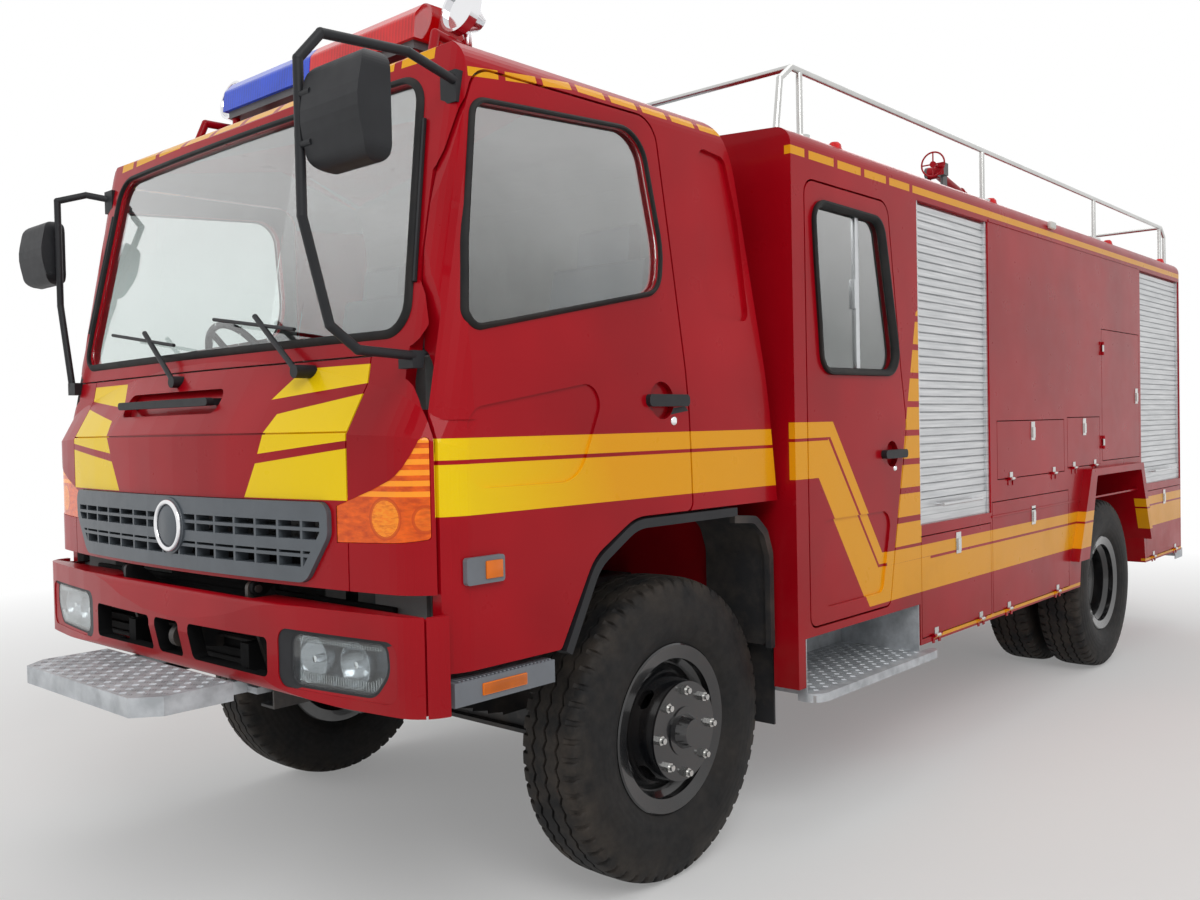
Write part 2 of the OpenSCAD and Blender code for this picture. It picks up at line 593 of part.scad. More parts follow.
// Front panels: the middle one carries the grille, the corner ones the lamps
hood_y = 880;
seam = 5;
grille_outline = [[-715, 1152, 60], [715, 1152, 60], [815, 1290, 50], [815, 1388, 40], [-815, 1388, 40],
    [-815, 1290, 50]];
module lamp_prism(grow) intersection() {
    both_sides() across(780, cab_y + 40) offset(delta = grow) polygon(rounded([[1300, 1252, 0],
        [door_front + door_gap + 8, 1290, 12], [door_front + door_gap + 8, 1570, 8], [1122, 1560, 10],
        [1150, 1480, 200], [1215, 1310, 60], [1300, 1262, 0]]));
    both_sides() block(900, 1400, 835, cab_y + 40, 1200, 1650);
}
module cab_front() color("firebrick") truck() difference() {
    cab_skin(0, panel_t);
    block(-700, 1000, -1400, 1400, 0, 3000);
    block(-700, 1500, -1400, 1400, 0, front_panel_bottom);
    block(-700, 1500, -1400, 1400, screen_base_z - 6, 3000);
    both_sides() door_prism(cab_door_outline, door_gap);
    along(700, 1500) polygon(rounded(grille_outline));
    lamp_prism(0);
    both_sides() block(700, 1500, hood_y - seam / 2, hood_y + seam / 2, 0, screen_base_z + 1);
    // Seam above the lower front panel and the pull handle's recess
    difference() {
        block(700, 1500, -hood_y, hood_y, 1580, 1585);
        cab_volume(8);
    }
    difference() {
        along(700, 1500) polygon(box_outline(-470, 210, 1650, 1730, 34));
        cab_volume(24);
    }
}
module corner_lamps() color("darkorange") truck() difference() {
    intersection() {
        cab_skin(2, 40);
        lamp_prism(-1.5);
    }
    block(-700, 1000, -1400, 1400, 0, 3000);
}

// Grille: a thick rim, two bars and upright ribs between them, with a plain round disc
disc_z = 1290;
disc_r = 92;
grille_bars = [[1186, 26], [1232, 10], [1262, 34], [1308, 10], [1344, 26]];
module grille() color("dimgray") truck() {
    difference() {
        intersection() {
            cab_skin(-14, 30);
            along(1000, 1500) union() {
                difference() {
                    offset(delta = -1.5) polygon(rounded(grille_outline));
                    offset(delta = -34) polygon(rounded(grille_outline));
                }
                intersection() {
                    offset(delta = -20) polygon(rounded(grille_outline));
                    union() {
                        for (bar = grille_bars) translate([-1000, bar[0] - bar[1] / 2])
                            square([2000, bar[1]]);
                        for (i = [-6.5 : 1 : 6.5]) translate([i * 108 - 5, 1100]) square([10, 400]);
                    }
                }
            }
        }
        x_rod(1000, 1400, 0, disc_z, disc_r - 20);
    }
    x_rod(1200, 1258, 0, disc_z, disc_r);
}
module windscreen() color("lightsteelblue", 0.5) truck() intersection() {
    cab_skin(10, 17);
    along(700, 1500) offset(delta = -fit) polygon(rounded(screen_outline));
    block(800, 1500, -1200, 1200, screen_base_z, cab_roof_z);
}

// Cab doors with their handles, hinged at the front edge
handle_z = 1665;
module cab_door(side) color("firebrick") truck() side_mirror(side) {
    difference() {
        intersection() {
            cab_skin(0, cab_t);
            door_prism(cab_door_outline, 0);
        }
        door_prism(window_outline, 0);
        // Pressed panel below the window
        difference() {
            across(900, cab_y + 40) polygon(rounded([[1000, 1420, 60], [1000, 1640, 60], [420, 1730, 60],
                [560, 1420, 120]]));
            cab_volume(7);
        }
        difference() {
            y_rod(150, 900, cab_y + 40, handle_z, 62);
            cab_volume(20);
        }
        // Front edge cut back inside so that it swings past the post, and the hinge pockets
        block(hinge_x - 10, door_front + 10, 900, hinge_y - 27, 900, 3000);
        for (z = hinge_zs) intersection() {
            block(hinge_x - 26, door_front + 20, 900, cab_y, z - pocket_half, z + pocket_half);
            cab_volume(10);
        }
    }
    for (z = hinge_zs) z_rod(hinge_x, hinge_y, z - pocket_half - 4, z + pocket_half + 4, hinge_pin_r);
    across(cab_y - 16, cab_y + 16) polygon(box_outline(20, 235, handle_z - 20, handle_z + 20, 16));
    block(30, 60, cab_y - 34, cab_y, handle_z - 14, handle_z + 14);
    block(205, 230, cab_y - 34, cab_y, handle_z - 14, handle_z + 14);
    across(cab_y - 3, cab_y + 14) polygon(box_outline(890, 1030, 1160, 1235, 10));
}
module cab_door_left() cab_door(1);
module cab_door_right() cab_door(-1);
module cab_door_glass(side) color("lightsteelblue", 0.5) truck() side_mirror(side) intersection() {
    cab_skin(12, 18);
    door_prism(window_outline, -fit);
}
module cab_door_glass_left() cab_door_glass(1);
module cab_door_glass_right() cab_door_glass(-1);

// Black trim: arch lips, wiper arms and blades, front pull handle and the grey entry steps
wiper_z = 1764;
module wiper(y, reach) {
    x_rod(1060, 1176, y, wiper_z, 20);
    rod([1166, y, wiper_z], [1112, y + reach * 0.55, wiper_z + 190], 18);
    rod([1126, y + reach * 0.12, wiper_z + 130], [1112, y + reach, wiper_z + 200], 12);
}
module cab_trim() color("black") truck() {
    both_sides() {
        across(cab_y - 50, cab_y + 6) polygon(sheet([[628, cab_door_bottom - 14, 0], [490, 1160, 165],
            [300, 1268, 190], [-262, 1268, 0]], 30));
        block(690, 1075, cab_y - 190, cab_y + 4, 836, 902);
        for (x = [690, 1030]) block(x, x + 15, cab_y - 170, cab_y - 122, 900, cab_door_bottom - fit);
    }
    difference() {
        union() {
            wiper(620, -560);
            wiper(-120, -560);
        }
        cab_volume(-fit);
    }
    difference() {
        union() {
            along(1188, 1212) polygon(box_outline(-440, 180, 1676, 1702, 12));
            for (y = [-420, 160]) block(1120, 1192, y - 12, y + 12, 1678, 1700);
        }
        cab_volume(24 - fit);
    }
}

// Mirrors: a moulded head on a bent tube from the roof corner to the front corner
mirror_z = 2340;
mirror_half_w = 115;
mirror_half_h = 134;
mirror_tube_d = 26;
// Side, the tube's upright x and y, the head's x, and the bends above and below the upright
mirror_arms = [
    [1, 1462, 1118, 1425, [[925, 1082, 2560], [1120, 1112, 2590], [1400, 1125, 2565], [1462, 1118, 2490]],
        [[1462, 1118, 2110], [1385, 1110, 1850], [1300, 1108, 1792]]],
    [-1, 1095, 1180, 1105, [[933, 1082, 2560], [1000, 1130, 2575], [1095, 1180, 2545]],
        [[1095, 1180, 2120]]]];
module mirror_head(x, y) intersection() {
    translate([x, 0, mirror_z]) across(y - mirror_half_w - 1, y + mirror_half_w + 1)
        polygon(rounded([[-45, -mirror_half_h, 22], [28, -mirror_half_h + 12, 44], [55, 0, 200],
        [28, mirror_half_h - 8, 44], [-45, mirror_half_h, 22]]));
    along(x - 60, x + 70) polygon(box_outline(y - mirror_half_w, y + mirror_half_w,
        mirror_z - mirror_half_h + 2, mirror_z + mirror_half_h - 2, 48));
}
module mirrors() color("black") truck() for (arm = mirror_arms) side_mirror(arm[0]) {
    mirror_head(arm[3], arm[2] + 22 + mirror_half_w);
    for (z = [mirror_z - 60, mirror_z + 60]) y_rod(arm[1], arm[2], arm[2] + 52, z, 9);
    tube_run(concat(arm[4], arm[5], [[1100, 1080, 1786]]), mirror_tube_d);
    difference() {
        union() {
            block(860, 940, 1030, 1096, 2500, 2590);
            block(1040, 1112, 1030, 1092, 1752, 1800);
        }
        cab_volume(-fit);
    }
}

// Cab interior: dashboard, two seats and the steering wheel on the right
module seat(y) translate([0, y, 0]) {
    block(-120, 380, -240, 240, floor_z + 260, floor_z + 380);
    across(-230, 230) polygon(rounded([[-120, floor_z + 350, 0], [0, floor_z + 370, 0],
        [-110, floor_z + 900, 30], [-210, floor_z + 900, 30], [-240, floor_z + 370, 0]]));
    across(-130, 130) polygon(rounded([[-130, floor_z + 880, 0], [-150, floor_z + 1040, 30],
        [-220, floor_z + 1040, 30], [-200, floor_z + 880, 0]]));
    block(-80, 340, -190, 190, floor_z + floor_t + fit, floor_z + 261);
}
module cab_interior() color("dimgray") truck() {
    across(-995, 995) polygon(rounded([[990, 1500, 0], [990, 1790, 0], [900, 1805, 40], [740, 1740, 60],
        [720, 1520, 40]]));
    seat(680);
    seat(-680);
    translate([600, -620, 1830]) rotate([0, -62, 0]) {
        rotate_extrude($fn = 64) translate([215, 0]) circle(r = 14);
        cylinder(r = 45, h = 22);
        for (a = [90, 210, 330]) rotate([0, 0, a]) translate([30, -14, 0]) cube([180, 28, 14]);
    }
    rod([600, -620, 1830], [790, -620, 1729], 50);
}

// Light bar on its tube frame with a searchlight at each end
bar_low = 2868;
bar_high = 2992;
searchlight_x = light_bar_x - 30;
module searchlight(x, y, z) translate([x, y, z]) rotate([0, 78, 0]) difference() {
    union() {
        translate([0, 0, -50]) cylinder(r1 = 42, r2 = 82, h = 60);
        translate([0, 0, 9]) cylinder(r = 82, h = 34);
    }
    translate([0, 0, 30]) cylinder(r = 72, h = 20);
}
module light_bar() color("firebrick") truck() difference() {
    union() {
        block(light_bar_x - 95, light_bar_x + 95, -light_bar_l / 2 + 20, light_bar_l / 2 - 20, bar_low - 28,
            bar_low);
        both_sides() {
            for (dx = [-75, 75]) z_rod(light_bar_x + dx, 560, cab_roof_z - 120, bar_low - 20, 15);
            tube_run([[light_bar_x - 300, 640, cab_roof_z - 120], [light_bar_x - 280, 640, 2830],
                [light_bar_x + 120, 720, 2845], [light_bar_x + 200, 760, cab_roof_z - 120]], 30);
            y_rod(searchlight_x, 560, 706, bar_low - 16, 15);
            z_rod(searchlight_x, 706, bar_low - 24, bar_low + 26, 14);
            searchlight(searchlight_x, 706, 2952);
        }
        // Horn speaker behind the bar
        x_rod(light_bar_x - 430, light_bar_x - 230, 0, 2815, 50);
        translate([light_bar_x - 231, 0, 2815]) rotate([0, 90, 0]) cylinder(r1 = 50, r2 = 80, h = 60);
        block(light_bar_x - 400, light_bar_x - 260, -30, 30, cab_roof_z - 80, 2790);
    }
    cab_volume(-fit);
}
module light_bar_lenses() color("red") truck() for (y = [[2, light_bar_l / 2], [-light_bar_l / 2, -2]])
    across(y[0], y[1]) polygon(rounded([[light_bar_x - 110, bar_low, 0], [light_bar_x + 110, bar_low, 0],
    [light_bar_x + 102, bar_low + 80, 30], [light_bar_x + 62, bar_high, 36],
    [light_bar_x - 62, bar_high, 36], [light_bar_x - 102, bar_low + 80, 30]]));

// Bumper shell with its openings, and the lamps of the truck
bumper_side = cab_y + 12;
bumper_rear = door_front + door_gap;
bumper_t = 30;
bumper_openings = [[-90, 70], [130, 560], [-560, -130]];
head_lamp = [610, 1090, 850, 1020];
module bumper_block(inset) intersection() {
    upright(bumper_bottom + inset, bumper_top - inset) offset(delta = -inset)
        polygon(bowed(bumper_x, bumper_side, panel_bow, 120, 900));
    across(-bumper_side - 1, bumper_side + 1) offset(delta = -inset)
        polygon(rounded([[900, bumper_bottom, 0], [bumper_x - 30, bumper_bottom, 40],
        [bumper_x + 4, bumper_top - 110, 60], [bumper_x - 22, bumper_top, 26], [900, bumper_top, 0]]));
}
module front_bumper() color("firebrick") truck() {
    difference() {
        bumper_block(0);
        translate([-20, 0, 0]) bumper_block(bumper_t);
        block(800, bumper_rear, -bumper_side - 1, bumper_side + 1, bumper_bottom - 1, bumper_top + 1);
        block(800, bumper_rear + 60, -bumper_side + bumper_t, bumper_side - bumper_t, bumper_bottom - 1,
            bumper_top + 1);
        block(900, tilt_x + tilt_boss_r + 12, -460, 460, bumper_top - 60, bumper_top + 1);
        both_sides() block(900, tilt_x + tilt_boss_r + 5, bracket_y - 8, bracket_y + 50,
            bumper_bottom - 1, bumper_top);
        for (o = bumper_openings) along(1000, 1400) polygon(box_outline(o[0], o[1], 868, 985, 18));
        both_sides() along(1000, 1400) polygon(box_outline(head_lamp[0], head_lamp[1], head_lamp[2],
            head_lamp[3], 40));
    }
    // Arms to the frame rails
    both_sides() block(1108, bumper_x - 60, bracket_y - 48, bracket_y - fit,
        bumper_bottom + bumper_t - 10, bumper_bottom + 120);
}
tail_lamp = [[800, 1010], [1020, 1230]];
module road_lamps() color("white") truck() {
    both_sides() intersection() {
        difference() {
            bumper_block(3);
            translate([-60, 0, 0]) bumper_block(3);
        }
        along(bumper_rear + 2, 1400) offset(delta = -fit)
            polygon(box_outline(head_lamp[0], head_lamp[1], head_lamp[2], head_lamp[3], 40));
    }
    both_sides() for (y = tail_lamp) along(body_rear_x - 32, body_rear_x - 0.3)
        polygon(box_outline(y[0], y[1], 640, 760, 14));
}

// Front step: chequer plate top with a folded apron on two arms
step_t = 5;
step_apron = 57;
module front_step() color("silver") truck() {
    upright(front_step_z - step_t, front_step_z) polygon(step_plan(0));
    difference() {
        upright(front_step_z - step_apron, front_step_z - step_t) polygon(step_plan(0));
        upright(front_step_z - step_apron - 1, front_step_z) offset(delta = -step_t)
            polygon(step_plan(-20));
    }
    both_sides() {
        block(1108, front_step_x - 60, 300, 340, bumper_bottom - 40, bumper_bottom - fit);
        block(bumper_x + 10, front_step_x - 60, 300, 340, bumper_bottom - 1, front_step_z - step_t);
        block(1108, rail_front + 40, 300, bracket_y - fit, bumper_bottom - 40, bumper_bottom - 20);
    }
}
function step_plan(rear_shift) = [[bumper_x + 8 + rear_shift, -front_step_y],
    [front_step_x - 75, -front_step_y], [front_step_x, -front_step_y + 62],
    [front_step_x, front_step_y - 62], [front_step_x - 75, front_step_y],
    [bumper_x + 8 + rear_shift, front_step_y]];

// Mudguards behind the front wheels, carried by the frame, each with its rubber flap
guard_y0 = 850;
guard_y1 = 1160;
guard_path = [[-300, 1246, 0], [-430, 1236, 60], [-500, 1180, 60], [-536, 1090, 80], [-538, 740, 0]];
module mudguards() color("black") truck() both_sides() {
    across(guard_y0, guard_y1) polygon(sheet(guard_path, 8));
    across(guard_y1 - 24, guard_y1) polygon(sheet([for (p = guard_path) [p[0] + 10, p[1] - 10, p[2]]], 26));
    block(-606, -534, guard_y0, 1115, 736, 744);
    block(-606, -596, guard_y0, 1115, 415, 744);
    y_rod(-520, frame_y + fit, guard_y0 + 40, 880, 17);
}

// Body section, shared by the crew compartment and the locker body
body_section = [[-body_y, body_bottom, 0], [body_y, body_bottom, 0], [body_y, body_top, 70],
    [620, body_top + roof_rise, 800], [-620, body_top + roof_rise, 800], [-body_y, body_top, 70]];
module body_outline(inset) offset(delta = -inset) polygon(rounded(body_section));
module body_tube(x0, x1) difference() {
    along(x0, x1) body_outline(0);
    along(x0 - 1, x1 + 1) body_outline(body_t);
}
crew_floor_z = 960;
well_z = 790;
well_y = 860;
crew_door_outline = [[-655, 798, 40], [-1302, 798, 40], [-1352, 1030, 200], [-1478, 1560, 260],
    [-1430, 1800, 260], [-1325, 2505, 70], [-655, 2505, 60]];
crew_window_outline = [[-770, 1785, 70], [-1385, 1790, 80], [-1375, 1900, 300], [-1255, 2420, 80],
    [-715, 2425, 70], [-730, 2200, 300]];
step_recess = [610, 1580];
crew_hinge_x = -710;
crew_hinge_y = body_y - 20;
crew_hinge_zs = [960, 1640];
crew_post_y = body_y - 86;
module crew_prism(pts, grow) across(1000, body_y + 60) offset(delta = grow) polygon(rounded(pts));
module crew_cabin() color("firebrick") truck() {
    difference() {
        body_tube(-crew_rear, -body_front);
        block(-crew_rear - 1, -step_recess[0], -1400, 1400, 0, well_z - 30);
        block(-crew_rear - 1, -body_front + 1, -body_y + 110, body_y - 110, 0, 770);
        both_sides() crew_prism(crew_door_outline, door_gap);
    }
    // Front wall, rear partition, floor over the frame and the wells inside the doors
    difference() {
        along(-body_front - body_t, -body_front) body_outline(0);
        block(-900, 0, -body_y + 110, body_y - 110, 0, 770);
        block(-900, 0, -frame_y - 12, frame_y + 12, 0, crew_floor_z);
    }
    difference() {
        along(-crew_rear, -crew_rear + body_t) body_outline(0);
        block(-crew_rear - 1, 0, -1400, 1400, 0, well_z - 30);
        block(-crew_rear - 1, 0, -frame_y - 12, frame_y + 12, 0, crew_floor_z);
    }
    block(-crew_rear + 1, -body_front - 1, -well_y, well_y, crew_floor_z, crew_floor_z + 30);
    both_sides() {
        block(-crew_rear + 1, -body_front - 1, well_y - 30, well_y, well_z - 30, crew_floor_z + 1);
        block(-crew_rear + 1, -body_front - 1, well_y - 30, body_y - body_t - 8, well_z - 30, well_z);
        block(-crew_rear + 1, -step_recess[0], body_y - body_t - 10, body_y, well_z - 30, well_z - 19);
        // Hinge post behind the door's front edge
        block(-740, -body_front - 1, crew_post_y - 40, crew_post_y, well_z - 1, 2480);
        for (z = crew_hinge_zs) hinge_arm(crew_hinge_x, crew_hinge_y, crew_post_y - 1, z);
    }
}
crew_step_z = 545;
module crew_steps() color("silver") truck() both_sides() {
    upright(crew_step_z, crew_step_z + 8) polygon(rounded([[-step_recess[0] - 4, well_y, 0],
        [-step_recess[0] - 4, body_y + 40, 60], [-step_recess[0] - 70, body_y + 56, 60],
        [-1640, body_y + 56, 60], [-1715, body_y + 6, 20], [-step_recess[1] + 4, body_y + 4, 0],
        [-step_recess[1] + 4, well_y, 0]]));
    difference() {
        upright(crew_step_z - 26, crew_step_z) polygon(rounded([[-step_recess[0] - 4, body_y - 40, 0],
            [-step_recess[0] - 4, body_y + 40, 60], [-step_recess[0] - 70, body_y + 56, 60],
            [-1640, body_y + 56, 60], [-1715, body_y + 6, 20], [-1600, body_y - 40, 0]]));
        upright(crew_step_z - 27, crew_step_z + 1) polygon([[-step_recess[0] - 12, body_y - 50],
            [-step_recess[0] - 12, body_y + 30], [-step_recess[0] - 70, body_y + 46],
            [-1640, body_y + 46], [-1700, body_y - 2], [-1600, body_y - 50]]);
    }
    block(-step_recess[1] + 4, -step_recess[0] - 4, well_y, well_y + 4, crew_step_z, well_z - 30.3);
    for (x = [-step_recess[0] - 8, -step_recess[1] + 4])
        block(x, x + 4, well_y, body_y, crew_step_z, well_z - 30.3);
}
module crew_bench() color("dimgray") truck() {
    block(-1540, -1090, -800, 800, crew_floor_z + 330, crew_floor_z + 430);
    block(-1540, -1450, -800, 800, crew_floor_z + 425, crew_floor_z + 980);
    for (y = [-700, 0, 700]) block(-1500, -1140, y - 25, y + 25, crew_floor_z + 30 + fit,
        crew_floor_z + 331);
}
module crew_door(side) color("firebrick") truck() side_mirror(side) {
    difference() {
        intersection() {
            body_tube(-crew_rear, -body_front);
            crew_prism(crew_door_outline, 0);
        }
        crew_prism(crew_window_outline, 0);
        across(body_y - 8, body_y + 1) polygon(rounded([[-760, 860, 40], [-1240, 860, 40],
            [-1330, 1200, 60], [-760, 1200, 40]]));
        y_rod(-1340, body_y - 24, body_y + 1, 1440, 55);
        for (z = crew_hinge_zs) block(crew_hinge_x - 30, -640, body_y - 60, body_y - 6, z - pocket_half,
            z + pocket_half);
    }
    for (z = crew_hinge_zs) z_rod(crew_hinge_x, crew_hinge_y, z - pocket_half - 4, z + pocket_half + 4,
        hinge_pin_r);
    across(body_y - 14, body_y + 26) polygon(box_outline(-1440, -1240, 1422, 1458, 16));
    for (x = [-1425, -1275]) block(x, x + 25, body_y - 26, body_y, 1428, 1452);
}
module crew_door_left() crew_door(1);
module crew_door_right() crew_door(-1);
module crew_door_glass(side) color("lightsteelblue", 0.5) truck() side_mirror(side) intersection() {
    across(body_y - 22, body_y - 16) offset(delta = -fit) polygon(rounded(crew_window_outline));
}
module crew_door_glass_left() crew_door_glass(1);
module crew_door_glass_right() crew_door_glass(-1);

// Locker body openings on each side: x from, x to, z from, z to
shutter_bays = [[-2400, -1605, 1110, 2560], [body_rear_x + 12, rear_axle_x - 690, 1110, 2560]];
flap_front = [-2395, -1605, 600, 1062];
flap_middle = [-3530, -2412, 600, 1162];
flap_rear = [body_rear_x + 20, rear_axle_x - 800, 600, 1062];
flap_upper_front = [-3470, -2485, 1268, 1570];
flap_upper_rear = [-4106, -3520, 1284, 1580];
narrow = [-4932, -4150, 1302, 2122];
arch_outline = [[-3700, 500, 0], [-3740, 740, 0], [-3900, 1225, 20], [-4800, 1225, 20], [-5020, 740, 0],
    [-5060, 500, 0]];
rear_bay = [700, 1000, 2400];
locker_y = body_y - locker_depth;
shelf_z = 1075;
wheelhouse_y = 600;
// Flap hinges: the body holds a pin between two barrels and the flap's barrel turns on it
barrel_r = 8;
barrel_y = body_y + barrel_r + 1;
barrel_half = 20;
pin_r = 4;
leaf_h = 34;
function flap_hinge_xs(o) = [o[0] + 0.18 * (o[1] - o[0]), o[0] + 0.82 * (o[1] - o[0])];
narrow_hinge_zs = [1420, 2000];
module body_hinge(x, z) {
    for (x0 = [x - 2 * barrel_half - 1, x + barrel_half + 1]) {
        x_rod(x0, x0 + barrel_half, barrel_y, z, barrel_r);
        block(x0, x0 + barrel_half, body_y - 1, body_y + 4, z - leaf_h, z);
        block(x0, x0 + barrel_half, body_y - 1, barrel_y, z - 4, z);
    }
    x_rod(x - 2 * barrel_half, x + 2 * barrel_half, barrel_y, z, pin_r);
}
module flap_hinge(x, z) difference() {
    union() {
        x_rod(x - barrel_half, x + barrel_half, barrel_y, z, barrel_r);
        block(x - barrel_half, x + barrel_half, body_y - 1, body_y + 4, z + flap_gap + 1, z + leaf_h);
        block(x - barrel_half, x + barrel_half, body_y + 1, body_y + 4, z, z + flap_gap + 2);
    }
    x_rod(x - 40, x + 40, barrel_y, z, pin_r + 0.08);
}
// The same hinges stood upright, for the narrow door at its front edge
module turned_up(x) translate([x, 0, 0]) rotate([0, -90, 0]) children();
module side_opening(o, depth, grow) block(o[0] - grow, o[1] + grow, body_y - depth, body_y + 5,
    o[2] - grow, o[3] + grow);
module locker_body() color("firebrick") truck() {
    difference() {
        union() {
            body_tube(body_rear_x, -crew_rear);
            // Rear wall and the cross partitions
            for (x = [body_rear_x, -4955, -4140, -2412, -crew_rear - plate_t])
                along(x, x + (x == body_rear_x ? body_t : plate_t)) body_outline(body_t - 1);
            // Locker backs, shelf over the frame and locker floors
            both_sides() {
                block(body_rear_x + 1, -crew_rear - 1, locker_y - plate_t, locker_y, body_bottom + 8,
                    body_top);
                block(body_rear_x + 1, -crew_rear - 1, locker_y - 1, body_y - 10, shelf_z,
                    shelf_z + plate_t);
                block(-4140, -2412, locker_y - 1, body_y - 10, 1240, 1240 + plate_t);
                block(-4955, -2412, locker_y - 1, body_y - 10, 1590, 1590 + plate_t);
            }
            block(body_rear_x + 1, -crew_rear - 1, -locker_y, locker_y, frame_top, frame_top + plate_t);
        }
        block(body_rear_x - 1, -crew_rear + 1, -locker_y + plate_t, locker_y - plate_t, 0, frame_top);
        both_sides() {
            for (o = shutter_bays) side_opening(o, 200, 0);
            across(wheelhouse_y, body_y + 1) polygon(rounded(arch_outline));
        }
        for (o = [flap_front, flap_middle, flap_rear, flap_upper_front, flap_upper_rear, narrow])
            side_opening(o, 150, 0);
        // Rear shutter bay over the pump controls
        block(body_rear_x - 1, body_rear_x + 70, -rear_bay[0], rear_bay[0], rear_bay[1], rear_bay[2]);
    }
    for (o = [flap_front, flap_middle, flap_rear, flap_upper_front, flap_upper_rear])
        for (x = flap_hinge_xs(o)) body_hinge(x, o[2]);
    for (z = narrow_hinge_zs) turned_up(narrow[1]) body_hinge(z, 0);
    both_sides() {
        // Wheelhouse lining and the folded flare round the arch
        difference() {
            across(wheelhouse_y, body_y - 1) offset(delta = plate_t) polygon(rounded(arch_outline));
            across(wheelhouse_y - 1, body_y + 1) polygon(rounded(arch_outline));
            block(-6000, 0, 0, 2000, 0, body_bottom + 8);
        }
        difference() {
            across(body_y - 2, body_y + 48) polygon([[-3560, 740], [-3805, 1268], [-4850, 1268],
                [-5075, 740]]);
            across(body_y - 3, body_y + 50) polygon(rounded(arch_outline));
            block(-6000, 0, 0, 2000, 0, 741);
        }
    }
}

// Roller shutters of hinged slats, each in an aluminium frame with a lift bar
guide_w = 26;
slat_depth = 9;
function slat_outline(z0, z1) = let (n = floor((z1 - z0) / slat_h))
    concat([[0, z0], [0, z1]], [for (i = [n - 1 : -1 : 0]) each [[slat_depth, z0 + (i + 0.86) * slat_h],
        [slat_depth, z0 + (i + 0.1) * slat_h], [slat_depth - 5, z0 + i * slat_h]]]);
module shutter(w, z0, z1) {
    translate([0, -20, 0]) along(0, w) polygon(slat_outline(z0 + 110, z1));
    for (x = [0, w - guide_w]) block(x, x + guide_w, -38, 0, z0, z1);
    block(guide_w - 1, w - guide_w + 1, -24, -6, z0, z0 + 60);
    block(guide_w - 1, w - guide_w + 1, -30, -4, z0 + 60, z0 + 111);
    for (x = [w * 0.24, w * 0.76]) y_rod(x, -6, 34, z0 + 84, 7);
    x_rod(w * 0.24 - 14, w * 0.76 + 14, 34, z0 + 84, 8);
}
module shutters() color("silver") truck() {
    both_sides() for (o = shutter_bays) translate([o[0] + fit, body_y - 8, 0])
        shutter(o[1] - o[0] - 2 * fit, o[2] + fit, o[3] - fit);
    translate([body_rear_x + 8, -rear_bay[0] + fit, 0]) rotate([0, 0, 90])
        shutter(2 * (rear_bay[0] - fit), rear_bay[1] + fit, rear_bay[2] - fit);
}

module latch(x, z) {
    block(x - 27, x + 27, body_y - 1, body_y + 4, z - 50, z + 50);
    block(x - 17, x + 17, body_y + 3, body_y + 10, z - 36, z + 20);
}
module flap(o, latch_drop) color("firebrick") truck() {
    block(o[0] + flap_gap, o[1] - flap_gap, body_y - flap_t, body_y, o[2] + flap_gap, o[3] - flap_gap);
    latch((o[0] + o[1]) / 2, o[3] - latch_drop);
    for (x = flap_hinge_xs(o)) flap_hinge(x, o[2]);
}
module skirt_flap_front() flap(flap_front, 64);
module skirt_flap_middle() flap(flap_middle, 106);
module skirt_flap_rear() flap(flap_rear, 64);
module upper_flap_front() flap(flap_upper_front, 60);
module upper_flap_rear() flap(flap_upper_rear, 60);
module narrow_door() color("firebrick") truck() {
    block(narrow[0] + flap_gap, narrow[1] - flap_gap, body_y - flap_t, body_y, narrow[2] + flap_gap,
        narrow[3] - flap_gap);
    latch(narrow[0] + 66, 1710);
    for (z = narrow_hinge_zs) turned_up(narrow[1]) flap_hinge(z, 0);
}

// Roof rails on four posts a side, cross rails at both ends and the ladder at the rear
rail_y = body_y - 90;
post_xs = [-780, -2560, -4320, body_rear_x + 160];
roof_edge_z = body_top + 10;
ladder_x = body_rear_x - 110;
module roof_rails() color("silver") truck() difference() {
    union() {
        both_sides() {
            tube_run([[-600, rail_y, roof_edge_z - 40], [-640, rail_y, rail_z - 60], [-720, rail_y, rail_z],
                [body_rear_x + 120, rail_y, rail_z], [body_rear_x + 40, rail_y, rail_z - 60],
                [body_rear_x + 30, rail_y, roof_edge_z - 40]], rail_d);
            for (x = post_xs) z_rod(x, rail_y, roof_edge_z - 40, rail_z, rail_d / 2);
            for (x = post_xs) z_rod(x, rail_y, roof_edge_z - 20, roof_edge_z + 4, 40);
        }
        for (x = [-722, body_rear_x + 118]) y_rod(x, -rail_y, rail_y, rail_z, rail_d / 2 - 1);
        // Ladder
        for (y = [-1150, -790]) {
            tube_run([[body_rear_x + 60, y, body_top - 20], [body_rear_x + 60, y, 2860],
                [body_rear_x - 60, y, 2900], [ladder_x, y, 2780], [ladder_x, y, 640]], rail_d);
            for (z = [900, 1700, 2500]) x_rod(ladder_x, body_rear_x + 20, y, z, 12);
        }
        for (z = [700 : 280 : 2700]) y_rod(ladder_x, -1150, -790, z, 12);
    }
    along(body_rear_x - fit, -body_front + fit) body_outline(-fit);
}
module rear_step() color("silver") truck() {
    block(rear_reach_x, body_rear_x - 1, -body_y + 40, body_y - 40, 560, 568);
    block(rear_reach_x, rear_reach_x + 5, -body_y + 40, body_y - 40, 500, 561);
    both_sides() {
        block(rear_reach_x, body_rear_x - 1, body_y - 45, body_y - 40, 500, 561);
        block(rear_reach_x + 60, rail_rear + 160, frame_y - 60, frame_y - frame_t - 1, 500, 560);
        block(rail_rear + 60, rail_rear + 160, frame_y - 60, frame_y - frame_t - 1, 500,
            frame_bottom - fit);
    }
}

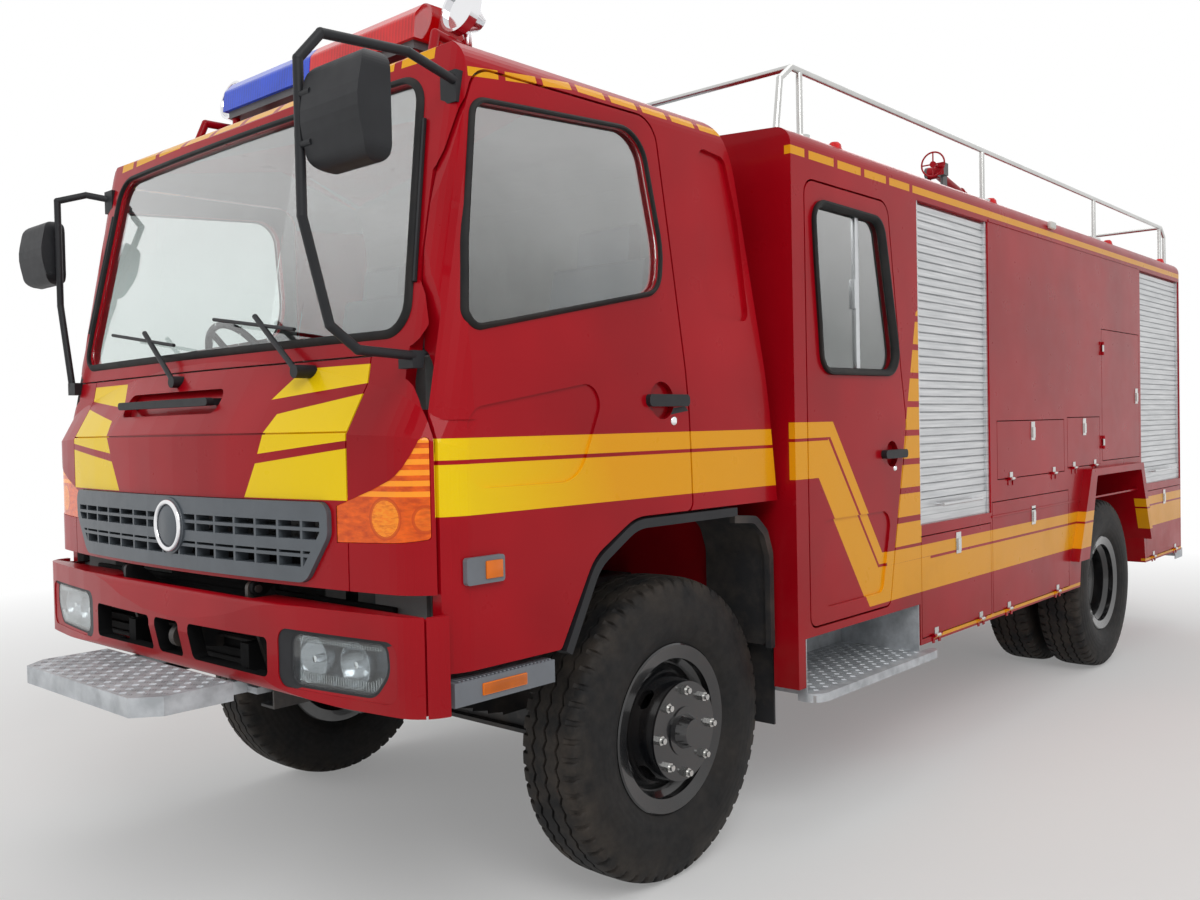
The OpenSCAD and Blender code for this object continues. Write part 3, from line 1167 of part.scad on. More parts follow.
// Roof monitor: pedestal pipe, swivelling yoke with its hand wheel, and the barrel that rises and dips
monitor_x = rear_axle_x - 300;
monitor_z = body_top + roof_rise;
swivel_z = monitor_z + 330;
elevation_z = swivel_z + 300;
monitor_pipe_r = 48;
monitor_collar_r = 66;
yoke_y = 50;
yoke_t = 20;
barrel_dip = 12;
module monitor_base() color("firebrick") truck() {
    z_rod(monitor_x, 0, monitor_z + fit, monitor_z + 14, 95);
    z_rod(monitor_x, 0, monitor_z + 10, swivel_z, monitor_pipe_r);
    z_rod(monitor_x, 0, swivel_z - 24, swivel_z, monitor_collar_r);
}
module monitor_swivel() color("firebrick") truck() translate([monitor_x, 0, 0]) {
    z_rod(0, 0, swivel_z + fit, swivel_z + 22, monitor_collar_r);
    z_rod(0, 0, swivel_z + 20, swivel_z + 190, monitor_pipe_r);
    for (y = [-yoke_y - yoke_t, yoke_y]) difference() {
        union() {
            block(-34, 34, y, y + yoke_t, swivel_z + 150, elevation_z);
            y_rod(0, y, y + yoke_t, elevation_z, 44);
        }
        y_rod(0, y - 1, y + yoke_t + 1, elevation_z, 12.08);
    }
    block(-34, 34, -yoke_y - 1, yoke_y + 1, swivel_z + 150, swivel_z + 190);
    // Gear box with the shaft and hand wheel ahead of it
    block(35, 110, yoke_y, yoke_y + 60, elevation_z - 46, elevation_z + 40);
    block(30, 60, yoke_y + 1, yoke_y + yoke_t, elevation_z - 30, elevation_z + 30);
    x_rod(109, 222, yoke_y + 30, elevation_z + 10, 9);
    translate([220, yoke_y + 30, elevation_z + 10]) rotate([0, 90, 0]) {
        rotate_extrude() translate([84, 0]) circle(r = 6);
        cylinder(r = 22, h = 12, center = true);
        for (a = [0, 90]) rotate([0, 0, a]) rotate([90, 0, 0]) cylinder(r = 5, h = 166, center = true);
    }
}
module monitor_barrel() color("firebrick") truck() translate([monitor_x, 0, elevation_z])
    rotate([0, -barrel_dip, 0]) difference() {
        union() {
            y_rod(0, -yoke_y + 1, yoke_y - 1, 0, 44);
            x_rod(-430, 0, 0, 0, 32);
            translate([-640, 0, 0]) rotate([0, 90, 0]) cylinder(r1 = 28, r2 = 42, h = 220);
            y_rod(0, -yoke_y - yoke_t - 6, yoke_y + yoke_t - 4, 0, 12);
        }
        x_rod(-641, -500, 0, 0, 20);
    }

chassis_frame();
front_axle();
rear_axle();
engine();
front_bumper();
front_step();
road_lamps();
mudguards();
crew_cabin();
locker_body();
crew_steps();
crew_bench();
shutters();
roof_rails();
rear_step();
monitor_base();
monitor_swivel();
monitor_barrel();
knuckle_left();
knuckle_right();
tie_rod();
front_rim_left();
front_rim_right();
front_tyre_left();
front_tyre_right();
rear_rims_left();
rear_rims_right();
rear_tyres_left();
rear_tyres_right();
cab_shell();
cab_front();
grille();
windscreen();
corner_lamps();
cab_trim();
mirrors();
cab_interior();
light_bar();
light_bar_lenses();
cab_door_left();
cab_door_right();
cab_door_glass_left();
cab_door_glass_right();
crew_door_left();
crew_door_right();
crew_door_glass_left();
crew_door_glass_right();
skirt_flap_front();
skirt_flap_middle();
skirt_flap_rear();
upper_flap_front();
upper_flap_rear();
narrow_door();
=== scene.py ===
"""Looks of the fire engine: materials on the CAD nodes and the fine pieces that ride on its bodies."""
from math import acos, atan2, ceil, cos, degrees, hypot, pi, radians, sin, tan

import bmesh
import bpy
from mathutils import Matrix, Vector
from mathutils.bvhtree import BVHTree


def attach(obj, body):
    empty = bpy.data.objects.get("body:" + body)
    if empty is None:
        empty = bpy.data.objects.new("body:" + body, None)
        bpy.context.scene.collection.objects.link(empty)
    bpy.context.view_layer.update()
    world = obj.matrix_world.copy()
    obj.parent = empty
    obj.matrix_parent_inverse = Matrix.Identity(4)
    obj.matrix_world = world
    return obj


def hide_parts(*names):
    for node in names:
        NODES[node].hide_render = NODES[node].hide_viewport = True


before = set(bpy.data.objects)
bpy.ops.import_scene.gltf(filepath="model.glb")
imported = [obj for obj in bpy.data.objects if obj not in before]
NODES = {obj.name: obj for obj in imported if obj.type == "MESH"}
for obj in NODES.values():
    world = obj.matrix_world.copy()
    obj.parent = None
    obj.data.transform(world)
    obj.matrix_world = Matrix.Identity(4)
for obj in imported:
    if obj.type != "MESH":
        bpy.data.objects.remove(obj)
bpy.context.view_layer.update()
SIDES = {"left": 1, "right": -1}

# Lengths are metres, and places along the truck are counted from the front axle
FX = 2.2925  # the front axle's x in the shared frame
REAR = -4.28  # the rear axle
AXLE_Z = 0.5275
OUT = 9  # farther than anything on the truck, where a range has no end

# Camera, fitted to the photograph
CAMERA = Vector((2.981 + FX, 3.419, 1.585))
YAW, PITCH, ROLL = (radians(a) for a in (221.61, -1.26, -1.194))
FOCAL_PX, PHOTO_W, SENSOR_MM = 1091.98, 1200, 36
CLIP_END = 200


def placed(name, data):
    """A new object in the scene."""
    o = bpy.data.objects.new(name, data)
    bpy.context.scene.collection.objects.link(o)
    return o


def place_camera():
    """The camera of the photograph, turned by its yaw, pitch and roll."""
    fwd = Vector((cos(YAW) * cos(PITCH), sin(YAW) * cos(PITCH), sin(PITCH)))
    level = Vector((sin(YAW), -cos(YAW), 0))
    above = level.cross(fwd)
    right = cos(ROLL) * level + sin(ROLL) * above
    up = -sin(ROLL) * level + cos(ROLL) * above
    data = bpy.data.cameras.new("camera")
    data.sensor_width = SENSOR_MM
    data.lens = FOCAL_PX * SENSOR_MM / PHOTO_W
    data.clip_end = CLIP_END
    cam = placed("camera", data)
    cam.matrix_world = Matrix([(right[i], up[i], -fwd[i], CAMERA[i]) for i in range(3)] + [(0, 0, 0, 1)])
    bpy.context.scene.camera = cam


place_camera()
bpy.context.scene.view_settings.view_transform = "Standard"


# Outlines
def with_next(path):
    """Each point of a closed path with the one after it."""
    return zip(path, path[1:] + path[:1])


def turn_of(path):
    """Positive where a closed path runs anticlockwise."""
    return sum(a[0] * b[1] - a[1] * b[0] for a, b in with_next(path))


# Shader arithmetic
def rgb(r, g, b):
    """Linear colour of an 8-bit colour."""
    parts = [c / 255 for c in (r, g, b)]
    return tuple(c / 12.92 if c <= 0.04045 else ((c + 0.055) / 1.055) ** 2.4 for c in parts) + (1,)


def dimmed(color, share):
    return tuple(c * share for c in color[:3]) + (1,)


class S:
    """A socket or a number in a node tree, with arithmetic."""

    def __init__(self, tree, value):
        self.tree, self.value = tree, value

    def op(self, name, *others, clamp=False):
        n = self.tree.nodes.new("ShaderNodeMath")
        n.operation, n.use_clamp = name, clamp
        for i, o in enumerate((self,) + others):
            v = o.value if isinstance(o, S) else o
            if isinstance(v, (int, float)):
                n.inputs[i].default_value = v
            else:
                self.tree.links.new(v, n.inputs[i])
        return S(self.tree, n.outputs[0])

    def __add__(self, o):
        return self.op("ADD", o)

    def __sub__(self, o):
        return self.op("SUBTRACT", o)

    def __rsub__(self, o):
        return S(self.tree, o).op("SUBTRACT", self)

    def __mul__(self, o):
        return self.op("MULTIPLY", o)

    def lt(self, o):
        return self.op("LESS_THAN", o)

    def gt(self, o):
        return self.op("GREATER_THAN", o)

    def min(self, o):
        return self.op("MINIMUM", o)

    def max(self, o):
        return self.op("MAXIMUM", o)

    def abs(self):
        return self.op("ABSOLUTE")

    def root(self):
        return self.op("SQRT")

    def frac(self):
        return self.op("FRACT")

    def ramp(self, a, b):
        """0 at a and 1 at b."""
        return self.op("SUBTRACT", a).op("DIVIDE", b - a, clamp=True)

    def between(self, a, b):
        """1 from a to b, else 0."""
        return self.gt(a) * self.lt(b)

    def dashes(self, pitch, share, start=0.0):
        """1 over the first share of each pitch, counted from start, else 0."""
        return ((self - start) * (1 / pitch)).frac().lt(share)


def any_of(masks):
    """1 where any of the masks is 1."""
    out = masks[0]
    for mask in masks[1:]:
        out = out.max(mask)
    return out


def stripes(s, bands):
    """1 within any of the (from, to) bands."""
    return any_of([s.between(a, b) for a, b in bands])


class Mat:
    """A principled material whose pattern lives in the piece's own coordinates."""

    def __init__(self, name, color, **sockets):
        self.m = bpy.data.materials.new(name)
        self.m.use_nodes = True
        self.m.diffuse_color = color
        self.t = self.m.node_tree
        self.bsdf = self.t.nodes["Principled BSDF"]
        self.bsdf.inputs["Base Color"].default_value = color
        for k, v in sockets.items():
            self.bsdf.inputs[k.replace("_", " ")].default_value = v
        self.co = self.node("TexCoord").outputs["Object"]
        sep = self.node("SeparateXYZ")
        self.t.links.new(self.co, sep.inputs[0])
        self.x, self.y, self.z = (S(self.t, sep.outputs[i]) for i in range(3))
        self.x = self.x - FX
        self.normal = None

    def node(self, kind, **values):
        """A new node with these values in its inputs."""
        n = self.t.nodes.new("ShaderNode" + kind)
        for k, v in values.items():
            n.inputs[k].default_value = v
        return n

    def noise(self, scale, detail=3, rough=0.55, stretch=None):
        n = self.node("TexNoise", Scale=scale, Detail=detail, Roughness=rough)
        place = self.co
        if stretch:
            mapping = self.node("Mapping", Scale=stretch)
            self.t.links.new(self.co, mapping.inputs[0])
            place = mapping.outputs[0]
        self.t.links.new(place, n.inputs["Vector"])
        return S(self.t, n.outputs["Fac"])

    def link(self, s, socket):
        self.t.links.new(s.value, self.bsdf.inputs[socket])

    def mix(self, fac, a, b):
        """Colour a where fac is 0 and b where it is 1."""
        n = self.node("Mix")
        n.data_type = "RGBA"
        for v, i in ((fac, 0), (a, 6), (b, 7)):
            if isinstance(v, S):
                self.t.links.new(v.value, n.inputs[i])
            else:
                n.inputs[i].default_value = v
        return S(self.t, n.outputs[2])

    def blend(self, fac, shader):
        """The shader shows instead of the principled one as far as fac says."""
        n = self.node("MixShader")
        self.t.links.new(fac.value, n.inputs[0])
        self.t.links.new(self.bsdf.outputs[0], n.inputs[1])
        self.t.links.new(shader.outputs[0], n.inputs[2])
        self.t.links.new(n.outputs[0], self.t.nodes["Material Output"].inputs[0])

    def bump(self, height, strength, distance):
        n = self.node("Bump", Strength=strength, Distance=distance)
        self.t.links.new(height.value, n.inputs["Height"])
        if self.normal:
            self.t.links.new(self.normal, n.inputs["Normal"])
        self.normal = n.outputs[0]
        self.t.links.new(self.normal, self.bsdf.inputs["Normal"])

    def inside(self, u, v, poly):
        """1 inside the convex outline poly, given in order round it."""
        if turn_of(poly) < 0:
            poly = poly[::-1]
        least = None
        for a, b in with_next(poly):
            nx, nz = -(b[1] - a[1]), b[0] - a[0]
            d = u.op("MULTIPLY_ADD", nx, -(a[0] * nx + a[1] * nz))
            d = v.op("MULTIPLY_ADD", nz, d)
            least = d if least is None else least.min(d)
        return least.gt(0)

    def distance(self, x, y, z):
        """From the point (x, y, z), which is mirrored left and right."""
        dx, dy, dz = self.x - x, self.y.abs() - y, self.z - z
        return (dx * dx + dy * dy + dz * dz).root()


# Paint: red, with road dust that sets in below DUST_TOP and is full at DUST_FULL
RED = rgb(178, 7, 25)
RED_DEEP = rgb(152, 5, 20)
YELLOW = rgb(240, 164, 8)
# the brighter yellow is a painted sheen of the reflective sheet
YELLOW_PAINTED_SHEEN = rgb(253, 214, 0)
YELLOW_FLECK = rgb(255, 226, 120)
ROAD_DUST = rgb(120, 92, 80)
DUST_TOP, DUST_FULL = 1.25, 0.5


def paint(name, livery=None):
    """Glossy red with slight orange peel, road dust low down, and reflective yellow with a painted sheen
    where livery says.
    """
    m = Mat(name, RED, Specular_IOR_Level=0.1, Coat_Weight=0.16, Coat_Roughness=0.05)
    col = m.mix(m.noise(1.7, 2).ramp(0.3, 0.75), RED_DEEP, RED)
    if livery:
        # painted sheen: the reflective yellow grows brighter towards the front and the bottom
        painted_sheen_yellow = m.mix((m.x - m.z * 0.35).ramp(-0.1, 0.55), YELLOW, YELLOW_PAINTED_SHEEN)
        painted_sheen_yellow = m.mix(m.noise(260, 1).ramp(0.35, 0.75) * 0.06, painted_sheen_yellow, YELLOW_FLECK)
        col = m.mix(livery(m), col, painted_sheen_yellow)
    dust = m.noise(2.3, 5, 0.6).ramp(0.45, 0.85) * m.z.ramp(DUST_TOP, DUST_FULL)
    m.link(m.mix(dust * 0.38, col, ROAD_DUST), "Base Color")
    m.link(dust * 0.3 + m.noise(9, 3).ramp(0.3, 0.8) * 0.08 + 0.27, "Roughness")
    m.bump(m.noise(190, 2), 0.05, 0.0006)
    return m.m


# Livery of the cab. The doors' bands lie beyond CAB_SIDE_Y, the front's wedges, as (|y|, z), past FRONT_X
CAB_SIDE_Y, CAB_SIDE_X = 1.02, 1.094
DOOR_BANDS = ((1.349, 1.489), (1.501, 1.56))
FRONT_X = 1.02
FRONT_WEDGES = (
    [(0.544, 1.64), (0.878, 1.69), (0.878, 1.559), (0.488, 1.523)],
    [(0.475, 1.494), (0.878, 1.537), (0.878, 1.392), (0.416, 1.392)],
    [(0.486, 1.685), (0.878, 1.72), (0.878, 1.775), (0.575, 1.775)])
EDGE_Z, EDGE_HALF = 2.648, 0.0135  # the dashed line along the roof's edge
EDGE_X, EDGE_Y = (-0.42, 0.9), 0.9
EDGE_BEND, EDGE_FALL = 0.45, 0.125  # where that line starts to fall, and how steeply
EDGE_DASHES = (0.16, 0.82, -0.0192)  # pitch, share and start, as for all dashes
BROW_Z, BROW_X, BROW_Y, BROW_DASHES = (2.652, 2.69), 0.8, 0.98, (0.21, 0.84)


def cab_livery(m):
    """Bands on the doors, wedges mirrored on the front, dashes along the roof's edge and brow."""
    ay = m.y.abs()
    doors = ay.gt(CAB_SIDE_Y) * m.x.lt(CAB_SIDE_X) * stripes(m.z, DOOR_BANDS)
    front = any_of([m.inside(ay, m.z, w) for w in FRONT_WEDGES]) * m.x.gt(FRONT_X)
    off = m.z - EDGE_Z + (m.x - EDGE_BEND).max(0.0) * EDGE_FALL
    edge = off.abs().lt(EDGE_HALF) * m.x.between(*EDGE_X) * ay.gt(EDGE_Y) * m.x.dashes(*EDGE_DASHES)
    brow = m.z.between(*BROW_Z) * m.x.gt(BROW_X) * ay.lt(BROW_Y) * m.y.dashes(*BROW_DASHES)
    return any_of([doors, front, edge, brow])


# Livery of the body. The red line cuts the door's band and the lockers' bands lengthwise
BODY_SIDE_Y = 1.225
DOOR_BAND = (
    [(-0.5, 1.583), (-0.842, 1.583), (-0.727, 1.367), (-0.5, 1.367)],
    [(-0.842, 1.583), (-1.252, 1.025), (-1.122, 0.813), (-0.727, 1.367)],
    [(-1.252, 1.025), (-1.7, 1.02), (-1.7, 0.814), (-1.122, 0.813)])
LINE_W = 0.012
RED_LINE = (
    [(-0.5, 1.521), (-0.81, 1.523), (-0.8, 1.523 - LINE_W), (-0.5, 1.521 - LINE_W)],
    [(-0.82, 1.523), (-1.222, 0.978), (-1.206, 0.978), (-0.8, 1.523)],
    [(-1.206, 0.978), (-6.1, 0.966), (-6.1, 0.966 - LINE_W), (-1.214, 0.978 - LINE_W)])
LOCKER_BANDS, LOCKER_BANDS_X = ((0.814, 0.954), (0.966, 1.022)), -1.28
CHECKS = [(-1.353, 1.03), (-1.585, 2.06), (-1.64, 2.09), (-1.64, 1.03)]
CHECKS_X, CHECKS_DASHES = -1.612, (0.126, 0.79, 1.036)
ROOF_LINE_Z, ROOF_DASHES, SOLID_X = (2.586, 2.618), (0.22, 0.86), -1.6  # behind SOLID_X it has no gaps
SILL_LINE_Z, SILL_LINE_X = (0.585, 0.602), -1.72


def body_livery(m):
    """A band slants over the crew door, with checks behind it, bands along the lockers, thin lines at
    the roof's edge and the sill."""
    band = any_of([m.inside(m.x, m.z, q) for q in DOOR_BAND])
    for q in RED_LINE:
        band = band * (1 - m.inside(m.x, m.z, q))
    lockers = stripes(m.z, LOCKER_BANDS) * m.x.lt(LOCKER_BANDS_X)
    checks = m.inside(m.x, m.z, CHECKS) * m.z.dashes(*CHECKS_DASHES) * m.x.gt(CHECKS_X)
    roof = m.z.between(*ROOF_LINE_Z) * m.x.dashes(*ROOF_DASHES).max(m.x.lt(SOLID_X))
    sill = m.z.between(*SILL_LINE_Z) * m.x.lt(SILL_LINE_X)
    return any_of([band, lockers, checks, roof, sill]) * m.y.abs().gt(BODY_SIDE_Y)


PAINT_CAB = paint("paint_cab", cab_livery)
PAINT_BODY = paint("paint_body", body_livery)
PAINT = paint("paint_red")


def simple(name, color, rough, metallic=0.0, bump=0.0, scale=120, vary=0.12, dust=0.0, stretch=None, **kw):
    """One colour with variation, roughness variation, fine bump and optional dust."""
    m = Mat(name, color, Metallic=metallic, **kw)
    lighter = tuple(min(1, c * (1 + vary * 2) + 0.004) for c in color[:3]) + (1,)
    n = m.noise(6, 4, 0.6, stretch)
    col = m.mix(n.ramp(0.3, 0.75), color, lighter)
    if dust:
        d = m.noise(5, 5, 0.62).ramp(0.42, 0.8) * dust
        col = m.mix(d, col, rgb(150, 132, 116))
    m.link(col, "Base Color")
    m.link(m.noise(23, 3, 0.6, stretch) * 0.16 + (rough - 0.08), "Roughness")
    if bump:
        m.bump(m.noise(scale, 3, 0.6, stretch), bump, 0.0012)
    return m.m


BLACK_PLASTIC = simple("plastic_black", rgb(26, 27, 30), 0.5, bump=0.16, scale=620, vary=0.25,
                       Specular_IOR_Level=0.3)
GREY_PLASTIC = simple("plastic_grey", rgb(106, 110, 116), 0.5, bump=0.12, scale=520)
GRILLE = simple("grille_grey", rgb(78, 84, 90), 0.4, bump=0.06, scale=500)
RUBBER = simple("rubber", rgb(20, 20, 21), 0.62, bump=0.2, scale=260, dust=0.06, Specular_IOR_Level=0.25)
GUARD = simple("guard_rubber", rgb(30, 30, 32), 0.66, bump=0.3, scale=60, dust=0.25)
FRAME = simple("frame_black", rgb(28, 28, 30), 0.5, bump=0.1, scale=90, dust=0.3)
ENGINE = simple("engine_iron", rgb(74, 78, 80), 0.6, 0.3, bump=0.3, scale=70, dust=0.35)
STEEL_GREY = simple("steel_grey", rgb(84, 86, 88), 0.45, 0.4, bump=0.08, scale=120, dust=0.15)
RIM = simple("rim_black", rgb(16, 17, 20), 0.18, bump=0.03, scale=90, dust=0.05, Coat_Weight=0.6)
STEEL = simple("steel", rgb(190, 190, 188), 0.28, 1.0, bump=0.04, scale=300, dust=0.06)
CHROME = simple("chrome", rgb(232, 232, 234), 0.09, 1.0, vary=0.02)
ALU = simple("aluminium", rgb(196, 198, 200), 0.36, 1.0, bump=0.05, scale=260, vary=0.06, stretch=(6, 1, 6))
TRIM = simple("trim_grey", rgb(132, 134, 134), 0.68, bump=0.22, scale=380)
FABRIC_DARK = simple("seat_vinyl", rgb(84, 90, 98), 0.5, bump=0.35, scale=430)
HORN = simple("horn_black", rgb(26, 26, 28), 0.35, bump=0.05)
BOWL = simple("lamp_bowl", rgb(150, 154, 158), 0.2, 0.9, vary=0.25, stretch=(1, 1, 9))
# MESH is black mesh and also the painted shade inside the front's openings
MESH = simple("mesh_black_and_painted_shade", rgb(12, 12, 13), 0.7, bump=0.4, scale=150, vary=0.2, Specular_IOR_Level=0.12)
WHITE_PLASTIC = simple("plastic_white", rgb(214, 214, 208), 0.35, vary=0.04)


SLAT_Z, SLAT_PITCH = 1.22, 0.036  # height of one of the shutters' joints, and their pitch


def slat_metal():
    """Brushed slats with a dark joint under each."""
    m = Mat("shutter_metal", rgb(206, 207, 208), Metallic=0.75)
    streak = m.noise(14, 4, 0.6, (0.25, 0.25, 7))
    col = m.mix(streak.ramp(0.3, 0.75), rgb(188, 190, 192), rgb(224, 225, 226))
    m.link(m.mix(m.z.dashes(SLAT_PITCH, 0.12, SLAT_Z) * 0.45, col, rgb(110, 112, 114)), "Base Color")
    m.link(streak * 0.15 + 0.34, "Roughness")
    m.bump(m.noise(90, 3, 0.6, (0.2, 0.2, 8)), 0.08, 0.001)
    return m.m


def plate_metal():
    """Worn aluminium of the tread plates, with some dirt."""
    m = Mat("chequer_plate", rgb(196, 200, 204), Metallic=0.3)
    col = m.mix(m.noise(16, 4).ramp(0.35, 0.7), rgb(170, 174, 178), rgb(208, 212, 216))
    col = m.mix(m.noise(4, 5, 0.7).ramp(0.55, 0.85) * 0.2, col, rgb(128, 122, 114))
    m.link(col, "Base Color")
    m.link(m.noise(40, 3) * 0.2 + 0.4, "Roughness")
    m.bump(m.noise(300, 2), 0.08, 0.0006)
    return m.m


WALL_R = 0.487  # the tyre's wall ends here and its shoulder starts
RING_WAVE = 260  # of the wall's moulded rings, in radians a metre


def tyre_rubber(name, cx):
    """Rubber with moulded rings on its wall and a dusty tread; cx is its axle's place."""
    m = Mat(name, rgb(26, 26, 27), Specular_IOR_Level=0.25)
    dx, dz = m.x - cx, m.z - AXLE_Z
    r = (dx * dx + dz * dz).root()
    rings = (r * RING_WAVE).op("SINE") * r.lt(WALL_R)
    dusty = m.noise(7, 5, 0.65).ramp(0.4, 0.8) * (r.ramp(0.42, 0.53) * 0.32 + 0.1)
    col = m.mix(m.noise(30, 3).ramp(0.3, 0.7), rgb(22, 22, 23), rgb(36, 35, 35))
    m.link(m.mix(dusty, col, rgb(112, 100, 88)), "Base Color")
    m.link(m.noise(18, 3) * 0.18 + 0.58, "Roughness")
    m.bump(m.noise(160, 4), 0.25, 0.0012)
    m.bump(rings, 0.18, 0.0012)
    return m.m


SKY_IOR, SKY_ROUGH = 3.3, 0.02  # of the coat that mirrors a pale sky in the windows


def glass(name, tint, rough, shade, sky=None):
    """Tinted glass. shade is the colour that its shadow lets through, and sky is the band of heights
    over which a pale sky's reflection sets in, on the outer face only."""
    m = Mat(name, tint, Roughness=rough, IOR=1.45, Transmission_Weight=1.0)
    if sky:
        m.bsdf.inputs["Coat IOR"].default_value = SKY_IOR
        m.bsdf.inputs["Coat Roughness"].default_value = SKY_ROUGH
        edge = m.z + m.y * 0.14 + m.noise(2.6, 3) * 0.3
        back = S(m.t, m.node("NewGeometry").outputs["Backfacing"])
        m.link((edge.ramp(*sky) * 0.8 + 0.2) * (1 - back), "Coat Weight")
    m.link(m.mix(m.noise(1.2, 2).ramp(0.3, 0.7) * 0.3, tint, dimmed(tint, 0.9)), "Base Color")
    m.blend(S(m.t, m.node("LightPath").outputs["Is Shadow Ray"]), m.node("BsdfTransparent", Color=shade))
    return m.m


def glowing(m, col, strength):
    """Lamp plastic shows its colour and gives off a little of it, a painted glow in place of light caught
    inside the plastic.
    """
    m.link(col, "Base Color")
    m.link(col, "Emission Color")
    m.bsdf.inputs["Emission Strength"].default_value = strength


def lens(name, color, ribs):
    """Coloured lamp plastic with moulded upright ribs, so many a metre; painted shade darkens one side of
    each rib.
    """
    m = Mat(name, color, Specular_IOR_Level=0.25, Coat_Weight=0.2, Coat_Roughness=0.03)
    wave = (m.y * ribs).frac()
    # painted shade: each rib is darker towards one side
    col = m.mix(wave.ramp(0.0, 0.9) * 0.6, dimmed(color, 0.45), color)
    glowing(m, m.mix(m.noise(7, 3).ramp(0.35, 0.7) * 0.5, col, color), 0.22)
    m.link(m.noise(60, 2) * 0.08 + 0.07, "Roughness")
    m.bump(wave, 0.3, 0.002)
    return m.m


BAR_Z, BAR_PITCH = 1.405, 0.029  # of the corner lamp's bars, which stand above BAR_Z
# Each bowl's centre, radius and the strength of its painted reflection
LAMP_BOWLS = (((1.2, 1.026, 1.346), 0.066, 0.75), ((1.123, 1.14, 1.344), 0.038, 0.2))


def corner_lens():
    """Orange corner lamp: bars over its upper half and two fluted bowls in the lower half, brightened by
    painted reflections.
    """
    dark, mid, painted_reflection = rgb(192, 66, 0), rgb(234, 98, 2), rgb(255, 160, 34)
    m = Mat("lens_amber", mid, Specular_IOR_Level=0.25, Coat_Weight=0.15, Coat_Roughness=0.03)
    col = m.mix(m.noise(22, 3, 0.6, (1, 1, 3)).ramp(0.32, 0.7), dark, mid)
    bars = m.z.dashes(BAR_PITCH, 0.5, BAR_Z) * m.z.gt(BAR_Z)
    # painted reflection: the bars and the bowls are lit up to a pale orange
    col = m.mix(bars * 0.85, col, painted_reflection)
    for centre, radius, painted_shine in LAMP_BOWLS:
        r = m.distance(*centre)
        flutes = m.noise(60, 2, 0.5, (1, 1, 4)).ramp(0.35, 0.65)
        col = m.mix(r.lt(radius) * (flutes * 0.6 + 0.4) * painted_shine, col, painted_reflection)
        col = m.mix((r - radius).abs().lt(0.004) * 0.8, col, dark)
    glowing(m, col, 0.2)
    m.link(m.noise(60, 2) * 0.08 + 0.1, "Roughness")
    m.bump(bars, 0.25, 0.002)
    return m.m


SLATS = slat_metal()
PLATE = plate_metal()
TYRE_F, TYRE_R = tyre_rubber("tyre_front", 0.0), tyre_rubber("tyre_rear", REAR)
GLASS = glass("window_glass", (0.80, 0.86, 0.84, 1), 0.0, (0.7, 0.74, 0.72, 1), (2.2, 2.75))
SCREEN = glass("screen_glass", (0.84, 0.89, 0.88, 1), 0.0, (0.75, 0.8, 0.78, 1), (2.05, 2.5))
CLEAR = glass("lamp_glass", rgb(236, 240, 240), 0.02, (0.9, 0.9, 0.9, 1))
AMBER = corner_lens()
AMBER_S = lens("lens_amber_small", rgb(240, 120, 16), 150)
LENS_RED = lens("lens_red", rgb(222, 8, 14), 60)
LENS_BLUE = lens("lens_blue", rgb(4, 74, 224), 60)
MIRROR = simple("mirror_glass", rgb(216, 222, 224), 0.04, 1.0, vary=0.01)

# Materials of the CAD nodes
LIDS = "skirt_flap_front skirt_flap_middle skirt_flap_rear upper_flap_front upper_flap_rear narrow_door"
LOOKS = (
    (FRAME, "chassis_frame front_axle rear_axle"), (ENGINE, "engine"), (GUARD, "mudguards"),
    (PAINT, "front_bumper monitor_base monitor_barrel light_bar"),
    (PAINT_CAB, "cab_shell cab_front cab_door_left cab_door_right"),
    (PAINT_BODY, "crew_cabin locker_body crew_door_left crew_door_right"), (PAINT_BODY, LIDS),
    (PLATE, "front_step crew_steps rear_step"), (SLATS, "shutters"), (STEEL, "roof_rails"),
    (STEEL_GREY, "monitor_swivel knuckle_left knuckle_right tie_rod"),
    (RIM, "front_rim_left front_rim_right rear_rims_left rear_rims_right"),
    (TYRE_F, "front_tyre_left front_tyre_right"), (TYRE_R, "rear_tyres_left rear_tyres_right"),
    (GLASS, "cab_door_glass_left cab_door_glass_right crew_door_glass_left crew_door_glass_right"),
    (SCREEN, "windscreen"), (AMBER, "corner_lamps"), (GRILLE, "grille"), (TRIM, "cab_interior"),
    (LENS_RED, "light_bar_lenses road_lamps"), (BLACK_PLASTIC, "cab_trim mirrors"),
    (FABRIC_DARK, "crew_bench"))
for mat, names in LOOKS:
    for name in names.split():
        data = NODES[name].data
        data.materials.clear()
        data.materials.append(mat)
        for p in data.polygons:
            p.material_index = 0


def recolour(node, mat, test):
    """Gives mat to the faces of a CAD node that pass test, by their centre's x, |y|, z and y and normal."""
    o = NODES[node]
    o.data.materials.append(mat)
    k = len(o.data.materials) - 1
    for p in o.data.polygons:
        c = p.center
        if test(c.x - FX, abs(c.y), c.z, c.y, p.normal):
            p.material_index = k


def within(x0, x1, y0, y1, z0, z1):
    """Faces in a box that is mirrored left and right."""
    return lambda x, ay, z, y, n: x0 <= x <= x1 and y0 <= ay <= y1 and z0 <= z <= z1


NUTS_R = (0.122, 0.163)


def hub_ring(axle, y0, y1):
    """Faces of a rim's ring of nuts, between two planes across."""
    return lambda x, ay, z, y, n: y0 < ay < y1 and NUTS_R[0] < hypot(x - axle, z - AXLE_Z) < NUTS_R[1]


def door_lining(x, ay, z, y, n):
    return n.y * y < -0.5 and 1.0 < ay < 1.15


# painted shade: the walls inside the bumper's openings are made black
def painted_shade_bumper_openings(x, ay, z, y, n):
    return ay < 0.585 and (0.86 < z < 0.99 and abs(n.x) < 0.4 or x < 1.235 and z < 1.06)


